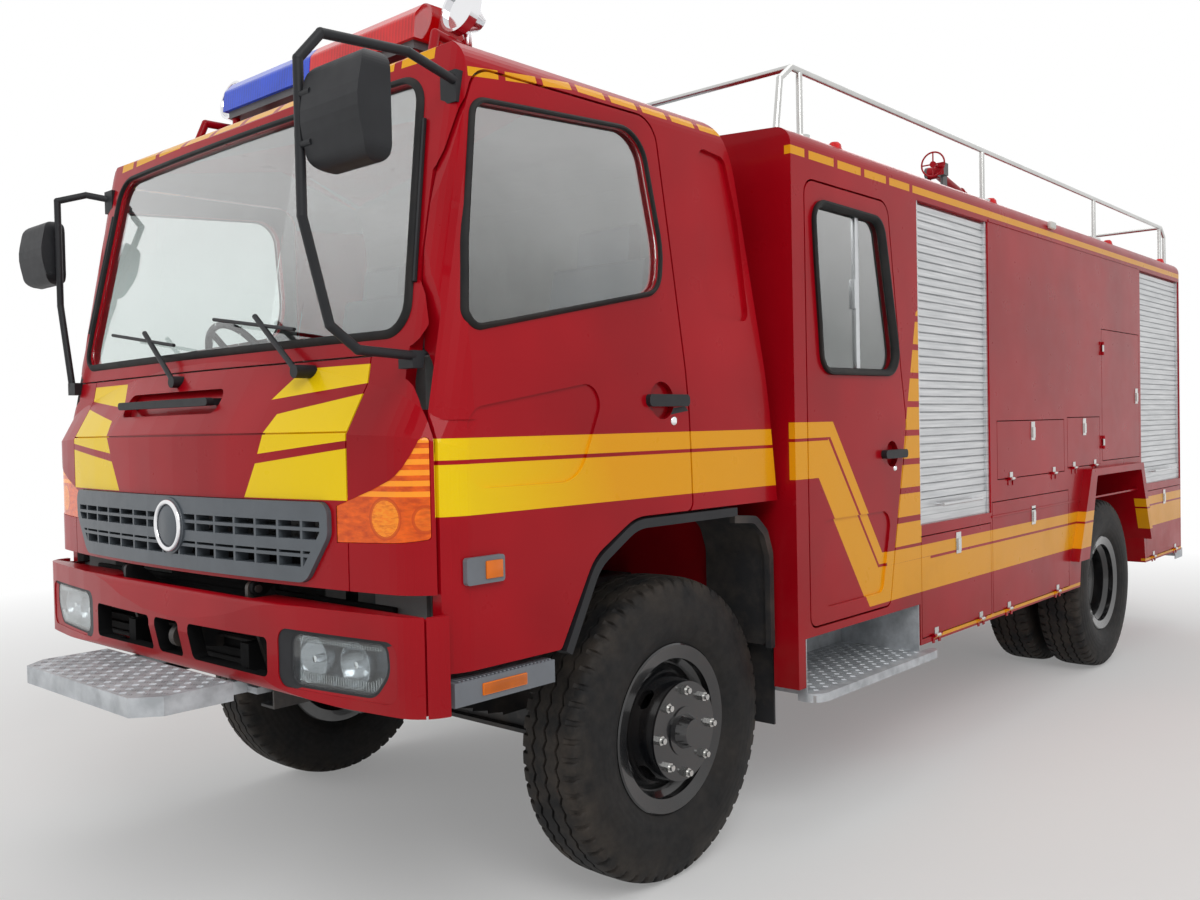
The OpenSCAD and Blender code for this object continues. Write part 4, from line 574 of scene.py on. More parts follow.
def cab_lining(x, ay, z, y, n):
    """The cab shell's floor and its faces that look inward."""
    floor = z < 1.33 and ay < 1.12 and x < 1.07
    inward = n.x > 0.5 or n.y * y < -0.3 or n.z < -0.3
    return floor or -0.48 < x < 0.9 and ay < 1.06 and z < 2.68 and inward


def roof_deck(x, ay, z, y, n):
    return n.z > 0.9 and z > 2.715 and ay < 0.75


# Doors, rims and flaps: handles, marker lamps' housings, linings, nuts and locks
for s in SIDES:
    recolour("cab_door_" + s, BLACK_PLASTIC, within(0.018, 0.237, 1.1845, OUT, 1.6, 1.7))
    recolour("cab_door_" + s, GREY_PLASTIC, within(0.885, 1.035, 1.18, OUT, 1.155, 1.24))
    recolour("cab_door_" + s, TRIM, door_lining)
    recolour("crew_door_" + s, BLACK_PLASTIC, within(-1.445, -1.235, 1.2525, OUT, 1.4, 1.47))
    recolour("front_rim_" + s, STEEL, hub_ring(0.0, 1.1345, OUT))
    recolour("rear_rims_" + s, STEEL, hub_ring(REAR, 0.947, 1.0))
for lid in LIDS.split():
    recolour(lid, STEEL, lambda x, ay, z, y, n: ay > 1.2525)

# Bumper, front and cab: painted shade, black on the walls inside the bumper's openings and round the
# grille, and on the shell behind the front
recolour("front_bumper", MESH, painted_shade_bumper_openings)
recolour("cab_front", MESH, lambda x, ay, z, y, n: n.x < 0.4 and ay < 0.84 and 1.142 < z < 1.4)
recolour("cab_shell", MESH, lambda x, ay, z, y, n: x > 0.95 and ay < 0.9 and z < 1.5)
recolour("cab_shell", TRIM, cab_lining)
recolour("cab_trim", GREY_PLASTIC, within(0.68, 1.08, 0.98, 1.2, 0.83, 0.903))
recolour("cab_interior", BLACK_PLASTIC, within(0.3, 0.9, 0.3, 0.95, 1.68, 2.1))
recolour("cab_interior", FABRIC_DARK, within(-0.3, 0.45, 0.4, 0.95, 1.5, 2.4))

# Light bar: searchlights, horn, ledge and the right lens
recolour("light_bar", CHROME, lambda x, ay, z, y, n: ay > 0.615 and z > 2.868)
recolour("light_bar", HORN, within(0.1, 0.42, 0, 0.09, 2.7, 2.9))
recolour("light_bar", STEEL_GREY, within(0.41, 0.73, 0, 0.6, 2.835, 2.87))
recolour("light_bar_lenses", LENS_BLUE, lambda x, ay, z, y, n: y < 0)

# Body and roof
recolour("crew_cabin", TRIM, lambda x, ay, z, y, n: -1.56 < x < -0.59 and ay < 1.215 and 0.75 < z < 2.66)
recolour("locker_body", PLATE, roof_deck)
recolour("crew_cabin", PLATE, roof_deck)
recolour("monitor_swivel", PAINT, lambda x, ay, z, y, n: x > -4.48)


# Building pieces
SHARP = radians(38)  # edges over this angle stay sharp on smooth pieces


class Parts:
    """Collects loose shapes of one material into one mesh."""

    def __init__(self):
        self.v, self.f = [], []

    def add(self, verts, faces):
        b = len(self.v)
        self.v += [tuple(v) for v in verts]
        self.f += [tuple(b + i for i in f) for f in faces]

    def mirror(self):
        """The same shapes on the other side of the truck."""
        b = len(self.v)
        self.v += [(x, -y, z) for x, y, z in self.v]
        self.f += [tuple(b + i for i in reversed(f)) for f in list(self.f)]

    def tube(self, pts, r, n, closed, flat=1.0):
        """A round tube along pts; flat squeezes it along the path's own side direction."""
        pts = [Vector(p) for p in pts]
        k = len(pts)
        rings = []
        normal = None
        for i, p in enumerate(pts):
            a = pts[(i - 1) % k] if closed or i else p
            b = pts[(i + 1) % k] if closed or i < k - 1 else p
            d = (b - a).normalized()
            if normal is None:
                normal = d.orthogonal().normalized()
            normal = (normal - d * normal.dot(d)).normalized()
            side = d.cross(normal)
            rings.append([p + (normal * cos(t) + side * sin(t) * flat) * r
                          for t in (2 * pi * j / n for j in range(n))])
        v = [q for ring in rings for q in ring]
        f = []
        for i in range(k if closed else k - 1):
            a, b = i * n, ((i + 1) % k) * n
            f += [(a + j, a + (j + 1) % n, b + (j + 1) % n, b + j) for j in range(n)]
        if not closed:
            f += [tuple(reversed(range(n))), tuple(range((k - 1) * n, k * n))]
        self.add(v, f)

    def block(self, x0, x1, y0, y1, z0, z1, r, seg=2):
        """A box with rounded edges."""
        bm = bmesh.new()
        bmesh.ops.create_cube(bm, size=1)
        for v in bm.verts:
            v.co = Vector(((x0 + x1) / 2 + v.co.x * (x1 - x0), (y0 + y1) / 2 + v.co.y * (y1 - y0),
                           (z0 + z1) / 2 + v.co.z * (z1 - z0)))
        r = min(r, (x1 - x0) * 0.45, (y1 - y0) * 0.45, (z1 - z0) * 0.45)
        bmesh.ops.bevel(bm, geom=bm.edges[:], offset=r, segments=seg, affect="EDGES", profile=0.5)
        bm.verts.index_update()
        self.add([v.co.copy() for v in bm.verts], [[v.index for v in f.verts] for f in bm.faces])
        bm.free()

    def lathe(self, profile, centre, axis, n, sign=1):
        """profile is [(radius, along)]; turned about axis through centre."""
        v, f = [], []
        for r, h in profile:
            for j in range(n):
                t = 2 * pi * j / n
                c, s = r * cos(t), r * sin(t)
                p = {"y": (c, h * sign, s), "x": (h * sign, c, s), "z": (c, s, h * sign)}[axis]
                v.append(Vector(centre) + Vector(p))
        for i in range(len(profile) - 1):
            a, b = i * n, (i + 1) * n
            f += [(a + j, b + j, b + (j + 1) % n, a + (j + 1) % n) for j in range(n)]
        f += [tuple(range(n)), tuple(reversed(range((len(profile) - 1) * n, len(profile) * n)))]
        self.add(v, f)

    def make(self, name, mat, body, slot, smooth=True):
        """One piece of all the shapes, riding on body."""
        me = bpy.data.meshes.new(name)
        me.from_pydata(self.v, [], self.f)
        me.validate()
        me.update()
        me.materials.append(mat)
        for p in me.polygons:
            p.use_smooth = smooth
        if smooth:
            me.set_sharp_from_angle(angle=SHARP)
        o = placed(name, me)
        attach(o, body)
        return o


def across(s, a, b):
    """The places a and b on side s, the lower one first."""
    return sorted((s * a, s * b))


ARC_STEP, STRAIGHT = 9, 89  # degrees: between an arc's points, and half a corner that is no corner


def rounded(pts):
    """The outline with its corners rounded; pts are (u, v, radius)."""
    out = []
    n = len(pts)
    for i in range(n):
        a, b, c = (Vector(pts[(i + k) % n][:2]) for k in (-1, 0, 1))
        r = pts[i][2]
        u, w = (a - b).normalized(), (c - b).normalized()
        half = acos(max(-1, min(1, u.dot(w)))) / 2
        if r <= 0 or half > radians(STRAIGHT):
            out.append(b)
            continue
        centre = b + (u + w).normalized() * r / sin(half)
        p, q = b + u * r / tan(half) - centre, b + w * r / tan(half) - centre
        sweep = pi - 2 * half
        m = max(1, ceil(degrees(sweep) / ARC_STEP))
        for k in range(m + 1):
            t = k / m
            out.append(centre + (p * sin(sweep * (1 - t)) + q * sin(sweep * t)) / sin(sweep))
    return out


def tree_of(node):
    """A search tree of a CAD node's faces."""
    mesh = NODES[node].data
    points, faces = [v.co.copy() for v in mesh.vertices], [p.vertices[:] for p in mesh.polygons]
    return BVHTree.FromPolygons(points, faces)


def grow(path, d):
    """The closed outline path moved outward by d."""
    sign = 1 if turn_of(path) > 0 else -1
    out = []
    for i, p in enumerate(path):
        t = (path[(i + 1) % len(path)] - path[i - 1]).normalized()
        out.append(p + Vector((t.y, -t.x)) * d * sign)
    return out


def dense(path, step):
    """More points along the straight stretches of a closed path."""
    out = []
    for a, b in with_next(path):
        k = max(1, int((b - a).length / step))
        out += [a + (b - a) * i / k for i in range(k)]
    return out


BEYOND = 2.0  # rays start this far out, ahead or beside
SIDE_HIT, FRONT_HIT = 0.95, 0.7  # hits nearer the middle than this lie inside the truck
DOOR_Y, CREW_Y, SCREEN_X = 1.15, 1.25, 1.05  # where a path lies that starts beside all hits


def onto_side(tree, path, side, lift, start):
    """Points of an (x, z) path laid on a node's outer side."""
    out, last = [], start
    for x, z in path:
        hit = tree.ray_cast(Vector((x + FX, side * BEYOND, z)), Vector((0, -side, 0)))[0]
        if hit is not None and abs(hit.y) > SIDE_HIT:
            last = abs(hit.y)
        out.append((x + FX, side * (last + lift), z))
    return out


def onto_front(tree, path):
    """Points of a (y, z) path laid on a node's front."""
    out, last = [], SCREEN_X
    for y, z in path:
        hit = tree.ray_cast(Vector((FX + BEYOND, y, z)), Vector((-1, 0, 0)))[0]
        if hit is not None and hit.x - FX > FRONT_HIT:
            last = hit.x - FX
        out.append((FX + last, y, z))
    return out


# Tyres with zigzag ribs and shoulder lugs. Places across are counted from a tyre's middle
PITCHES = 56
PHASES = (0.0, 0.06, 0.3, 0.36, 0.52, 0.68, 0.84)  # the rows of points within a pitch
SLOT_ROWS, SLOT_DEPTH = (1, 2), 0.011  # the rows where the shoulders are cut
TREAD_R, CROWN, CROWN_Y = 0.5272, 0.0022, 0.07  # the tread's radius falls by CROWN at CROWN_Y
GROOVES, GROOVE_HALF, GROOVE_DEPTH, ZIGZAG = (-0.052, 0.0, 0.052), 0.0055, 0.012, 0.006
WALL = ((-0.095, 0.2575), (-0.1, 0.292), (-0.111, 0.303), (-0.1265, 0.33), (-0.1365, 0.368),
        (-0.139, 0.398), (-0.1375, 0.43), (-0.131, 0.462), (-0.1262, 0.478), (-0.1215, 0.492))
SHOULDER = ((-0.1175, 0.506), (-0.108, 0.5165), (-0.092, 0.522))
SHOULDER_END = (-0.078, 0.5245)


def tyre_columns():
    """(y, radius, whether it zigzags, whether slots cut it) of each line round a tyre."""
    cols = [(y, r, False, False) for y, r in WALL]
    cols += [(y, r, False, True) for y, r in SHOULDER] + [SHOULDER_END + (False, False)]
    far_side = [(-y, r, z, s) for y, r, z, s in reversed(cols)]
    for g in GROOVES:
        r = TREAD_R - CROWN * (g / CROWN_Y) ** 2
        for k, depth in ((-1, 0), (-0.6, GROOVE_DEPTH), (0.6, GROOVE_DEPTH), (1, 0)):
            cols.append((g + GROOVE_HALF * k, r - depth, True, False))
    return cols + far_side


def tyre(cx, cy):
    """Points and faces of one tyre: groove walls that zigzag, and slots in the shoulders."""
    cols = tyre_columns()
    verts, faces, n, rows = [], [], len(cols), PITCHES * len(PHASES)
    for i in range(rows):
        p, k = divmod(i, len(PHASES))
        t = 2 * pi * (p + PHASES[k]) / PITCHES
        swing = (abs(PHASES[k] * 2 - 1) * 2 - 1) * ZIGZAG
        for y, r, zigzags, slotted in cols:
            r -= SLOT_DEPTH if slotted and k in SLOT_ROWS else 0
            y += swing if zigzags else 0
            verts.append((cx + FX + r * cos(t), cy + y, AXLE_Z + r * sin(t)))
        a, b = i * n, ((i + 1) % rows) * n
        faces += [(a + j, a + j + 1, b + j + 1, b + j) for j in range(n - 1)]
        faces.append((a + n - 1, a, b, b + n - 1))
    return verts, faces


for kind, x, ys, mat, body in (
        ("front_tyre_", 0.0, (0.975,), TYRE_F, "front_wheel_"),
        ("rear_tyres_", REAR, (1.095, 0.777), TYRE_R, "rear_wheels_")):
    for side, s in SIDES.items():
        p = Parts()
        for y in ys:
            p.add(*tyre(x, s * y))
        o = p.make(kind + side + "_treaded", mat, body + side, "tyre_black")
        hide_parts(kind + side)

# Head lamps, set in the bumper's bowed face. Insets are counted back from that face
BOW_X, BOW_SPAN = 1.275, 14  # the face's foremost x, and twice its radius
LAMP_Z, SHEET_Y, RAYS_Y = 0.935, 0.85, 0.84  # the middle of the sheets and of the rays in matched
LAMP_STEP = 0.012
LENS_LINE = rounded([(0.662, 0.858, 0.04), (1.0, 0.862, 0.06), (1.056, 0.93, 0.07), (1.048, 1.012, 0.03),
                     (0.668, 1.012, 0.04)])
OPENING = rounded([(0.61, 0.85, 0.04), (1.09, 0.85, 0.04), (1.09, 1.02, 0.04), (0.61, 1.02, 0.04)])
LAMP_DEEP, HOUSE_DISH = 0.03, 0.05
LENS_INSETS = (0.010, 0.014)  # the lens' outer and inner faces
FLUTES, FLUTE_Y, FLUTE_PITCH, FLUTE_W = 34, 0.69, 0.0098, 0.0072
BOWL_YS, BOWL_Z, BOWL_R, BOWL_INSET = (0.735, 0.905), 0.936, 0.064, 0.034
DARK_Y, DARK_Z = 0.7, 1.008  # the bezels are black inside this y and above this z


def bow(y, inset):
    """The frame's x of the bumper's face at y, set back by inset."""
    return BOW_X - y * y / BOW_SPAN - inset + FX


def lamp_sheet(path, inset, dish=0.0, rings=8):
    """A sheet filling the outline path on the bumper's bow, dished back in its middle."""
    v, f = [(bow(SHEET_Y, inset) - dish, SHEET_Y, LAMP_Z)], []
    k = len(path)
    for i in range(1, rings + 1):
        t = i / rings
        for p in path:
            y, z = SHEET_Y + (p[0] - SHEET_Y) * t, LAMP_Z + (p[1] - LAMP_Z) * t
            v.append((bow(y, inset) - dish * (1 - t ** 2.2), y, z))
    f += [(0, 1 + (j + 1) % k, 1 + j) for j in range(k)]
    for i in range(rings - 1):
        a, b = 1 + i * k, 1 + (i + 1) * k
        f += [(a + j, a + (j + 1) % k, b + (j + 1) % k, b + j) for j in range(k)]
    return v, f


def lamp_wall(outer, inner, front, back):
    """A bezel from the outer outline to the inner one, then a wall back to the lamp's depth."""
    k, v, f = len(outer), [], []
    for path, inset in ((outer, front), (inner, back), (inner, LAMP_DEEP)):
        v += [(bow(p[0], inset), p[0], p[1]) for p in path]
    for a, b in ((0, k), (k, 2 * k)):
        f += [(a + j, b + j, b + (j + 1) % k, a + (j + 1) % k) for j in range(k)]
    return v, f


def matched(path, like):
    """As many points as like, each where a ray from the middle through like's point meets path."""
    middle = Vector((RAYS_Y, LAMP_Z))
    out = []
    for q in like:
        a = atan2(q[1] - LAMP_Z, q[0] - RAYS_Y)
        d = Vector((cos(a), sin(a)))
        far = 0.0
        for u, w in with_next(path):
            u, e = u - middle, w - u
            den = d.x * e.y - d.y * e.x
            if abs(den) < 1e-9:
                continue
            r, t = (u.x * e.y - u.y * e.x) / den, (u.x * d.y - u.y * d.x) / den
            if -1e-6 <= t <= 1 + 1e-6:
                far = max(far, r)
        out.append(middle + d * far)
    return out


def lamp_lens(line):
    """The clear sheet's two faces, with upright flutes along its lower and upper edge."""
    clear = Parts()
    for inset, order in zip(LENS_INSETS, (-1, 1)):
        v, f = lamp_sheet(grow(line, -0.003), inset, rings=6)
        clear.add(v, [q[::order] for q in f])
    for i in range(FLUTES):
        y = FLUTE_Y + i * FLUTE_PITCH
        low = 0.872 + max(0.0, y - 0.98) * 0.5
        for z0, z1 in ((low, low + 0.03), (0.985, 1.0)):
            clear.block(bow(y, 0.019), bow(y, 0.0142), y, y + FLUTE_W, z0, z1, 0.0022, 1)
    return clear


def head_lamps():
    """Housing, bowls, lens, rim, bulbs and bezel of both lamps; gives back the housings."""
    line = dense(LENS_LINE, LAMP_STEP)
    lip = grow(line, 0.004)
    house, bowls, rim, bulbs, bezel = (Parts() for _ in range(5))
    clear = lamp_lens(line)
    bezel.add(*lamp_wall(matched(dense(grow(OPENING, 0.001), LAMP_STEP), line), lip, 0.004, 0.009))
    rim.add(*lamp_wall(lip, grow(line, -0.007), 0.0095, 0.011))
    house.add(*lamp_sheet(line, LAMP_DEEP, HOUSE_DISH))
    r = BOWL_R
    for y in BOWL_YS:
        centre = (bow(y, BOWL_INSET), y, BOWL_Z)
        bowls.lathe([(0.012, -0.046), (r * 0.4, -0.042), (r * 0.7, -0.028), (r * 0.92, -0.008), (r, 0.006),
                     (r + 0.004, 0.006), (r * 0.95, -0.012), (r * 0.5, -0.05)], centre, "x", 32)
        bulbs.lathe([(0.0, 0.004), (0.010, 0.002), (0.013, -0.012), (0.013, -0.036), (0.0, -0.037)],
                    centre, "x", 20)
    made = {}
    for p, name, mat, slot in (
            (house, "housings", BOWL, "plastic_black"), (bowls, "bowls", BOWL, "lamp_clear"),
            (clear, "lenses", CLEAR, "lamp_clear"), (rim, "rims", BLACK_PLASTIC, "plastic_black"),
            (bulbs, "bulbs", CHROME, "lamp_clear"), (bezel, "bezels", PAINT, "paint_red")):
        p.mirror()
        made[name] = p.make("head_lamp_" + name, mat, "chassis", slot, p is not clear)
    bezels = made["bezels"].data
    bezels.materials.append(BLACK_PLASTIC)
    for face in bezels.polygons:
        face.material_index = int(abs(face.center.y) < DARK_Y or face.center.z > DARK_Z)
    return made["housings"]


# Tail lamps: a red and an amber one in dark rims on each side
TAIL_X, TAIL_LOW, TAIL_HIGH, RIM_W = -5.96, 0.64, 0.76, 0.008


def tail_lamps():
    x = FX + TAIL_X
    rims = Parts()
    for name, mat, slot, y0, y1 in (("red", LENS_RED, "lens_red", 0.8, 1.01),
                                    ("amber", AMBER_S, "amber", 1.02, 1.23)):
        p = Parts()
        p.block(x - 0.03, x - 0.004, y0 + RIM_W, y1 - RIM_W, TAIL_LOW + RIM_W, TAIL_HIGH - RIM_W, 0.008)
        p.mirror()
        p.make("tail_lamps_" + name, mat, "chassis", slot)
        rims.block(x - 0.022, x - 0.0003, y0, y1, TAIL_LOW, TAIL_HIGH, 0.006)
    rims.mirror()
    rims.make("tail_lamp_rims", BLACK_PLASTIC, "chassis", "plastic_black")


BRACKET_X, BRACKET_Y, BRACKET_Z = (1.09, 1.162), (1.128, 1.156), (0.824, 1.08)


def bumper_brackets():
    """They carry the bumper's end returns."""
    p = Parts()
    x0, x1 = BRACKET_X
    p.block(FX + x0, FX + x1, *BRACKET_Y, *BRACKET_Z, 0.004)
    p.mirror()
    p.make("bumper_end_brackets", PAINT, "chassis", "paint_red")


lamp = head_lamps()
tail_lamps()
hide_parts("road_lamps")
bumper_brackets()

# Windows' seals, locks and small lamps of the doors. Outlines are (y, z) in front and (x, z) at the side
SCREEN_OUT = rounded([(-1.01, 1.862, 0.07), (1.01, 1.862, 0.07), (0.935, 2.6, 0.09), (-0.935, 2.6, 0.09)])
DOOR_WIN = rounded([(0.985, 1.862, 0.04), (0.962, 2.1, 0.2), (0.888, 2.51, 0.06), (0.15, 2.56, 0.11),
                    (0.095, 2.16, 0.3), (0.13, 2.03, 0.09)])
CREW_WIN = rounded([(-0.77, 1.785, 0.07), (-1.385, 1.79, 0.08), (-1.375, 1.9, 0.3), (-1.255, 2.42, 0.08),
                    (-0.715, 2.425, 0.07), (-0.73, 2.2, 0.3)])
# Each seal's or trim's spacing of points, distance outside the outline, and radius
SCREEN_SEAL, SCREEN_TRIM = (0.06, 0.01, 0.017), (0.05, 0.026, 0.015)
DOOR_SEAL, CREW_SEAL, SEAL_LIFT = (0.08, 0.006, 0.013), (0.1, 0.004, 0.019), 0.001
TRIM_Y, TRIM_Z = 0.9, (1.95, 2.5)  # the side trims lie beyond that y, between those heights
LOCK_PLACE, CREW_LOCK = (0.092, 1.597), (-1.364, 1.252, 1.378)
LOCK = [(0.0, 0.006), (0.011, 0.006), (0.015, 0.003), (0.016, 0.0), (0.016, -0.004)]
SMALL_LOCK = [(0.0, 0.005), (0.009, 0.005), (0.012, 0.002), (0.013, -0.002)]


def screen_seal(shell):
    step, off, r = SCREEN_SEAL
    p = Parts()
    p.tube(onto_front(shell, grow(dense(SCREEN_OUT, step), off)), r, 10, True, 0.55)
    p.make("windscreen_seal", RUBBER, "cab", "rubber_black")


def screen_trims(shell):
    """Black strips beside the windscreen's upright edges."""
    step, off, r = SCREEN_TRIM
    edge = [q for q in grow(dense(SCREEN_OUT, step), off) if q[0] > TRIM_Y]
    edge = sorted((q for q in edge if TRIM_Z[0] < q[1] < TRIM_Z[1]), key=lambda q: q[1])
    p = Parts()
    p.tube(onto_front(shell, edge), r, 8, False, 0.5)
    p.mirror()
    p.make("screen_side_trims", BLACK_PLASTIC, "cab", "plastic_black")


def window_seals(side, s, cab_door):
    for name, tree, outline, (step, off, r), y, body in (
            ("cab_door_seal_", cab_door, DOOR_WIN, DOOR_SEAL, DOOR_Y, "cab_door_"),
            ("crew_window_seal_", tree_of("crew_door_" + side), CREW_WIN, CREW_SEAL, CREW_Y, "crew_door_")):
        p = Parts()
        p.tube(onto_side(tree, grow(dense(outline, step), off), s, SEAL_LIFT, y), r, 10, True, 0.6)
        p.make(name + side, RUBBER, body + side, "rubber_black")


def window_slider(side, s):
    """The upright bar between the crew window's panes, with its catch."""
    p = Parts()
    p.block(FX - 1.085, FX - 1.055, *across(s, 1.222, 1.246), 1.79, 2.42, 0.003)
    p.block(FX - 1.05, FX - 1.04, *across(s, 1.226, 1.25), 2.04, 2.16, 0.003)
    p.make("crew_window_slider_" + side, ALU, "crew_door_" + side, "rail_steel")


def locks_and_marker(side, s, cab_door):
    p = Parts()
    p.lathe(LOCK, onto_side(cab_door, [LOCK_PLACE], s, 0, DOOR_Y)[0], "y", 24, s)
    p.make("cab_door_lock_" + side, CHROME, "cab_door_" + side, "rail_steel")
    p = Parts()
    p.block(FX + 0.9, FX + 0.963, *across(s, 1.197, 1.204), 1.172, 1.222, 0.004)
    p.make("cab_marker_" + side, AMBER_S, "cab_door_" + side, "amber")
    p = Parts()
    x, y, z = CREW_LOCK
    p.lathe(SMALL_LOCK, (FX + x, s * y, z), "y", 20, s)
    p.make("crew_door_lock_" + side, CHROME, "crew_door_" + side, "rail_steel")


shell = tree_of("cab_shell")
screen_seal(shell)
screen_trims(shell)
for side, s in SIDES.items():
    cab_door = tree_of("cab_door_" + side)
    window_seals(side, s, cab_door)
    window_slider(side, s)
    locks_and_marker(side, s, cab_door)

# Front and cab steps
DISC_X, DISC_Z, RING_R = 1.256, 1.29, 0.077
DISC = [(0.0, 0.012), (0.055, 0.01), (0.068, 0.004), (0.073, -0.002)]
RADIATOR_X, RADIATOR_BARS, RADIATOR_PITCH = (1.064, 1.082), 9, 0.033
RIBS, RIB_PITCH, RIB_W = 24, 0.0152, 0.008


def front_disc():
    """A plain disc with a chrome ring on the grille."""
    p = Parts()
    p.lathe(DISC, (FX + DISC_X, 0, DISC_Z), "x", 48)
    p.make("front_disc_plate", GRILLE, "cab", "grille_grey")
    turns = [2 * pi * i / 48 for i in range(48)]
    p = Parts()
    p.tube([(FX + DISC_X + 0.006, RING_R * cos(a), DISC_Z + RING_R * sin(a)) for a in turns],
           0.0085, 12, True)
    p.make("front_disc_ring", CHROME, "cab", "rail_steel")


def radiator_face():
    """The dark plate behind the bumper's openings, with its bars."""
    back, front = (FX + x for x in RADIATOR_X)
    p = Parts()
    p.block(back, front, -0.94, 0.94, 0.79, 1.085, 0.004)
    p.block(back, front, -0.34, 0.34, 1.08, 1.12, 0.004)
    for i in range(RADIATOR_BARS):
        z = 0.80 + i * RADIATOR_PITCH
        p.block(front, front + 0.005, -0.93, 0.93, z, z + 0.008, 0.002, 1)
    p.make("radiator_face", MESH, "chassis", "frame_black")


def cab_steps():
    """Side reflectors and the treads' ribs."""
    p = Parts()
    for s in SIDES.values():
        p.block(FX + 0.806, FX + 0.976, *across(s, 1.186, 1.1935), 0.852, 0.886, 0.003)
    # the reflectors take the small lamps' lens, whose glow is painted light
    p.make("step_reflectors", AMBER_S, "cab", "amber")
    p = Parts()
    for i in range(RIBS):
        x = FX + 0.70 + i * RIB_PITCH
        p.block(x, x + RIB_W, 1.06, 1.186, 0.9, 0.9065, 0.002, 1)
    p.mirror()
    p.make("step_ribs", GREY_PLASTIC, "cab", "trim_grey", False)


front_disc()
radiator_face()
cab_steps()

# Tread plates with raised bars
CELL = 0.036
BAR_HALF, BAR_WIDE, BAR_HIGH, BAR_APART = 0.0135, 0.0022, 0.0018, 0.0075
STEP_TAPER_X, STEP_TAPER_Y, STEP_TAPER = 1.49, 0.402, 0.78


def tread_bar(p, x, y, ux, uy, half, z):
    """A raised bar along (ux, uy): four points round its foot and two on its ridge."""
    wide, ridge = BAR_WIDE, half * 0.5
    foot = [(x + ux * half, y + uy * half), (x - uy * wide, y + ux * wide), (x - ux * half, y - uy * half),
            (x + uy * wide, y - ux * wide)]
    top = [(x + ux * ridge, y + uy * ridge), (x - ux * ridge, y - uy * ridge)]
    v = [(FX + bx, by, z) for bx, by in foot] + [(FX + bx, by, z + BAR_HIGH) for bx, by in top]
    p.add(v, [(0, 1, 4), (1, 2, 5), (1, 5, 4), (2, 3, 5), (3, 0, 4), (3, 4, 5)])


def bars(p, x0, x1, y0, y1, z, keep=lambda x, y: True):
    """Bars in threes, which turn by a right angle from cell to cell."""
    for i in range(int((x1 - x0) / CELL)):
        for j in range(int((y1 - y0) / CELL)):
            cx, cy = x0 + (i + 0.5) * CELL, y0 + (j + 0.5) * CELL
            if not keep(cx, cy):
                continue
            a = radians(45 if (i + j) % 2 else -45)
            ux, uy = cos(a), sin(a)
            for off in (-BAR_APART, 0.0, BAR_APART):
                tread_bar(p, cx - uy * off, cy + ux * off, ux, uy, BAR_HALF - abs(off) * 0.35, z)


def on_step(x, y):
    """Whether a place lies on the front step, whose corners are cut off."""
    return x < STEP_TAPER_X or abs(y) < STEP_TAPER_Y - (x - STEP_TAPER_X) * STEP_TAPER


def treads():
    p = Parts()
    bars(p, 1.285, 1.573, -0.418, 0.418, 0.8398, on_step)
    p.make("front_step_tread", PLATE, "chassis", "step_metal", False)
    p = Parts()
    bars(p, -1.56, -0.63, 0.875, 1.285, 0.5528)
    p.mirror()
    p.make("crew_step_tread", PLATE, "chassis", "step_metal", False)
    p = Parts()
    bars(p, -6.15, -5.97, -1.2, 1.2, 0.5678)
    p.make("rear_step_tread", PLATE, "chassis", "step_metal", False)


treads()

# Mirrors' glasses in their casings, whose middles lie CASING_OFF outside the tubes
MIRROR_Z, GLASS_HALF_Y, GLASS_HALF_Z, CASING_OFF = 2.34, 0.1, 0.115, 0.137


def mirror_glasses():
    p = Parts()
    for s, head_x, tube_y in ((1, 1.425, 1.118), (-1, 1.105, 1.180)):
        x, y = FX + head_x, tube_y + CASING_OFF
        p.block(x - 0.0475, x - 0.0445, *across(s, y - GLASS_HALF_Y, y + GLASS_HALF_Y),
                MIRROR_Z - GLASS_HALF_Z, MIRROR_Z + GLASS_HALF_Z, 0.0014)
    p.make("mirror_glasses", MIRROR, "cab", "lamp_clear")


# Marker lamps of the body and its roof, and the beading over and under the panel between the shutters
MARKERS_X = (-1.0, -2.6, -4.5, -5.7)
MARKER = [(0.0, 0.034), (0.018, 0.032), (0.027, 0.022), (0.03, 0.006), (0.034, 0.0)]
BODY_Y, BEADING_X, BEADING_Z = 1.2525, (-4.955, -2.405), (2.562, 1.082)


def body_markers():
    p, q = Parts(), Parts()
    p.block(FX - 3.32, FX - 3.24, 1.2505, 1.275, 2.63, 2.67, 0.008)
    p.mirror()
    p.make("side_marker_white", WHITE_PLASTIC, "chassis", "lamp_clear")
    for x in MARKERS_X:
        q.lathe(MARKER, (FX + x, 1.19, 2.682), "z", 24)
    q.mirror()
    q.make("roof_markers", LENS_RED, "chassis", "lens_red")


def beading():
    p = Parts()
    x0, x1 = BEADING_X
    for z in BEADING_Z:
        p.block(FX + x0, FX + x1, BODY_Y - 0.0015, BODY_Y + 0.0035, z, z + 0.012, 0.0015, 1)
    p.mirror()
    p.make("body_beading", PAINT_BODY, "chassis", "paint_red")


mirror_glasses()
body_markers()
beading()

# Floor, world and lamps
FLOOR_HALF = 60
FLOOR_PALE, FLOOR_PALER = rgb(236, 236, 235), rgb(241, 241, 240)
FADE = (4.2, 8.5)  # the floor grows white between these distances from the frame's origin
WHITE = (1, 1, 1, 1)
AMBIENT = 0.42  # the world's strength as a light; what is seen of it is white


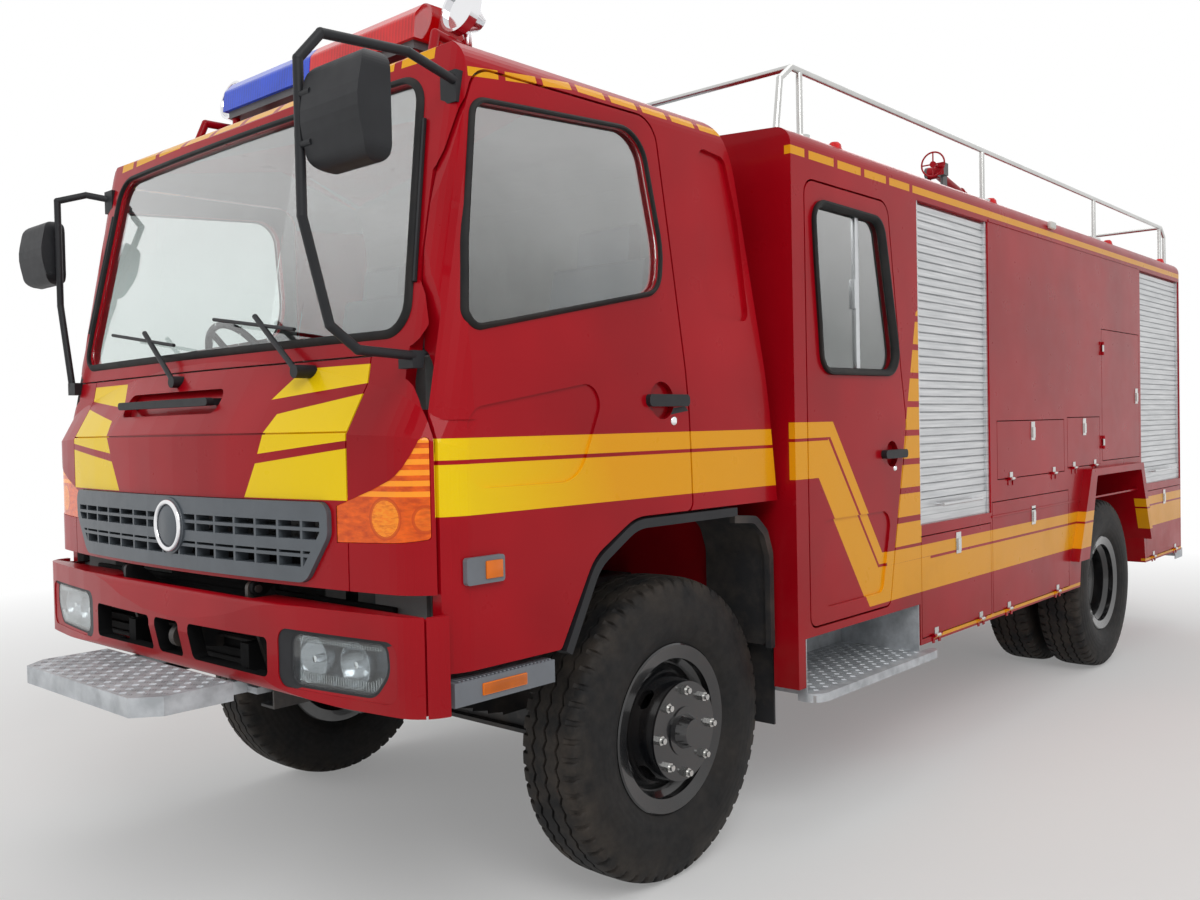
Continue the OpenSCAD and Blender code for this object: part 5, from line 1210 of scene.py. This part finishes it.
def seen(tree):
    """1 for rays of the camera, of reflections and through glass."""
    path = tree.nodes.new("ShaderNodeLightPath")
    rays = ("Is Camera Ray", "Is Glossy Ray", "Is Transmission Ray")
    return any_of([S(tree, path.outputs[ray]) for ray in rays])


def pale_floor():
    """The floor's material, which fades to white away from the truck."""
    m = Mat("floor_pale", FLOOR_PALE, Roughness=0.95, Specular_IOR_Level=0.1)
    m.link(m.mix(m.noise(0.6, 3).ramp(0.3, 0.7) * 0.5, FLOOR_PALE, FLOOR_PALER), "Base Color")
    x = m.x + FX
    far = (x * x + m.y * m.y).root().ramp(*FADE) * 0.78 + 0.22
    m.blend(far * seen(m.t), m.node("Emission", Color=WHITE))
    return m.m


def floor():
    me = bpy.data.meshes.new("floor")
    h = FLOOR_HALF
    me.from_pydata([(-h, -h, 0), (h, -h, 0), (h, h, 0), (-h, h, 0)], [], [(0, 1, 2, 3)])
    me.materials.append(pale_floor())
    placed("floor", me)


def white_world():
    world = bpy.data.worlds.new("world")
    bpy.context.scene.world = world
    world.use_nodes = True
    background = world.node_tree.nodes["Background"]
    background.inputs["Color"].default_value = WHITE
    strength = seen(world.node_tree) * (1.0 - AMBIENT) + AMBIENT
    world.node_tree.links.new(strength.value, background.inputs["Strength"])


def area(name, place, target, size, power, mirrored=True):
    """A soft lamp that looks at target; one that isn't mirrored doesn't show in glossy faces."""
    lamp = bpy.data.lights.new(name, "AREA")
    lamp.shape, lamp.size, lamp.size_y, lamp.energy = "RECTANGLE", size[0], size[1], power
    o = placed(name, lamp)
    o.location = place
    o.rotation_euler = (Vector(target) - Vector(place)).to_track_quat("-Z", "Y").to_euler()
    o.visible_glossy = mirrored


floor()
white_world()
area("key", (7.5, 8.0, 8.5), (1.0, 0.3, 1.2), (6, 6), 470)
area("fill", (9.5, -5.0, 5.0), (1.5, 0, 1.2), (6, 5), 150, mirrored=False)
area("top", (-2.0, 1.0, 9.5), (-1.0, 0, 1.5), (9, 5), 130)
area("back", (-9.5, -4.0, 6.0), (-1.5, 0, 1.5), (6, 5), 170)
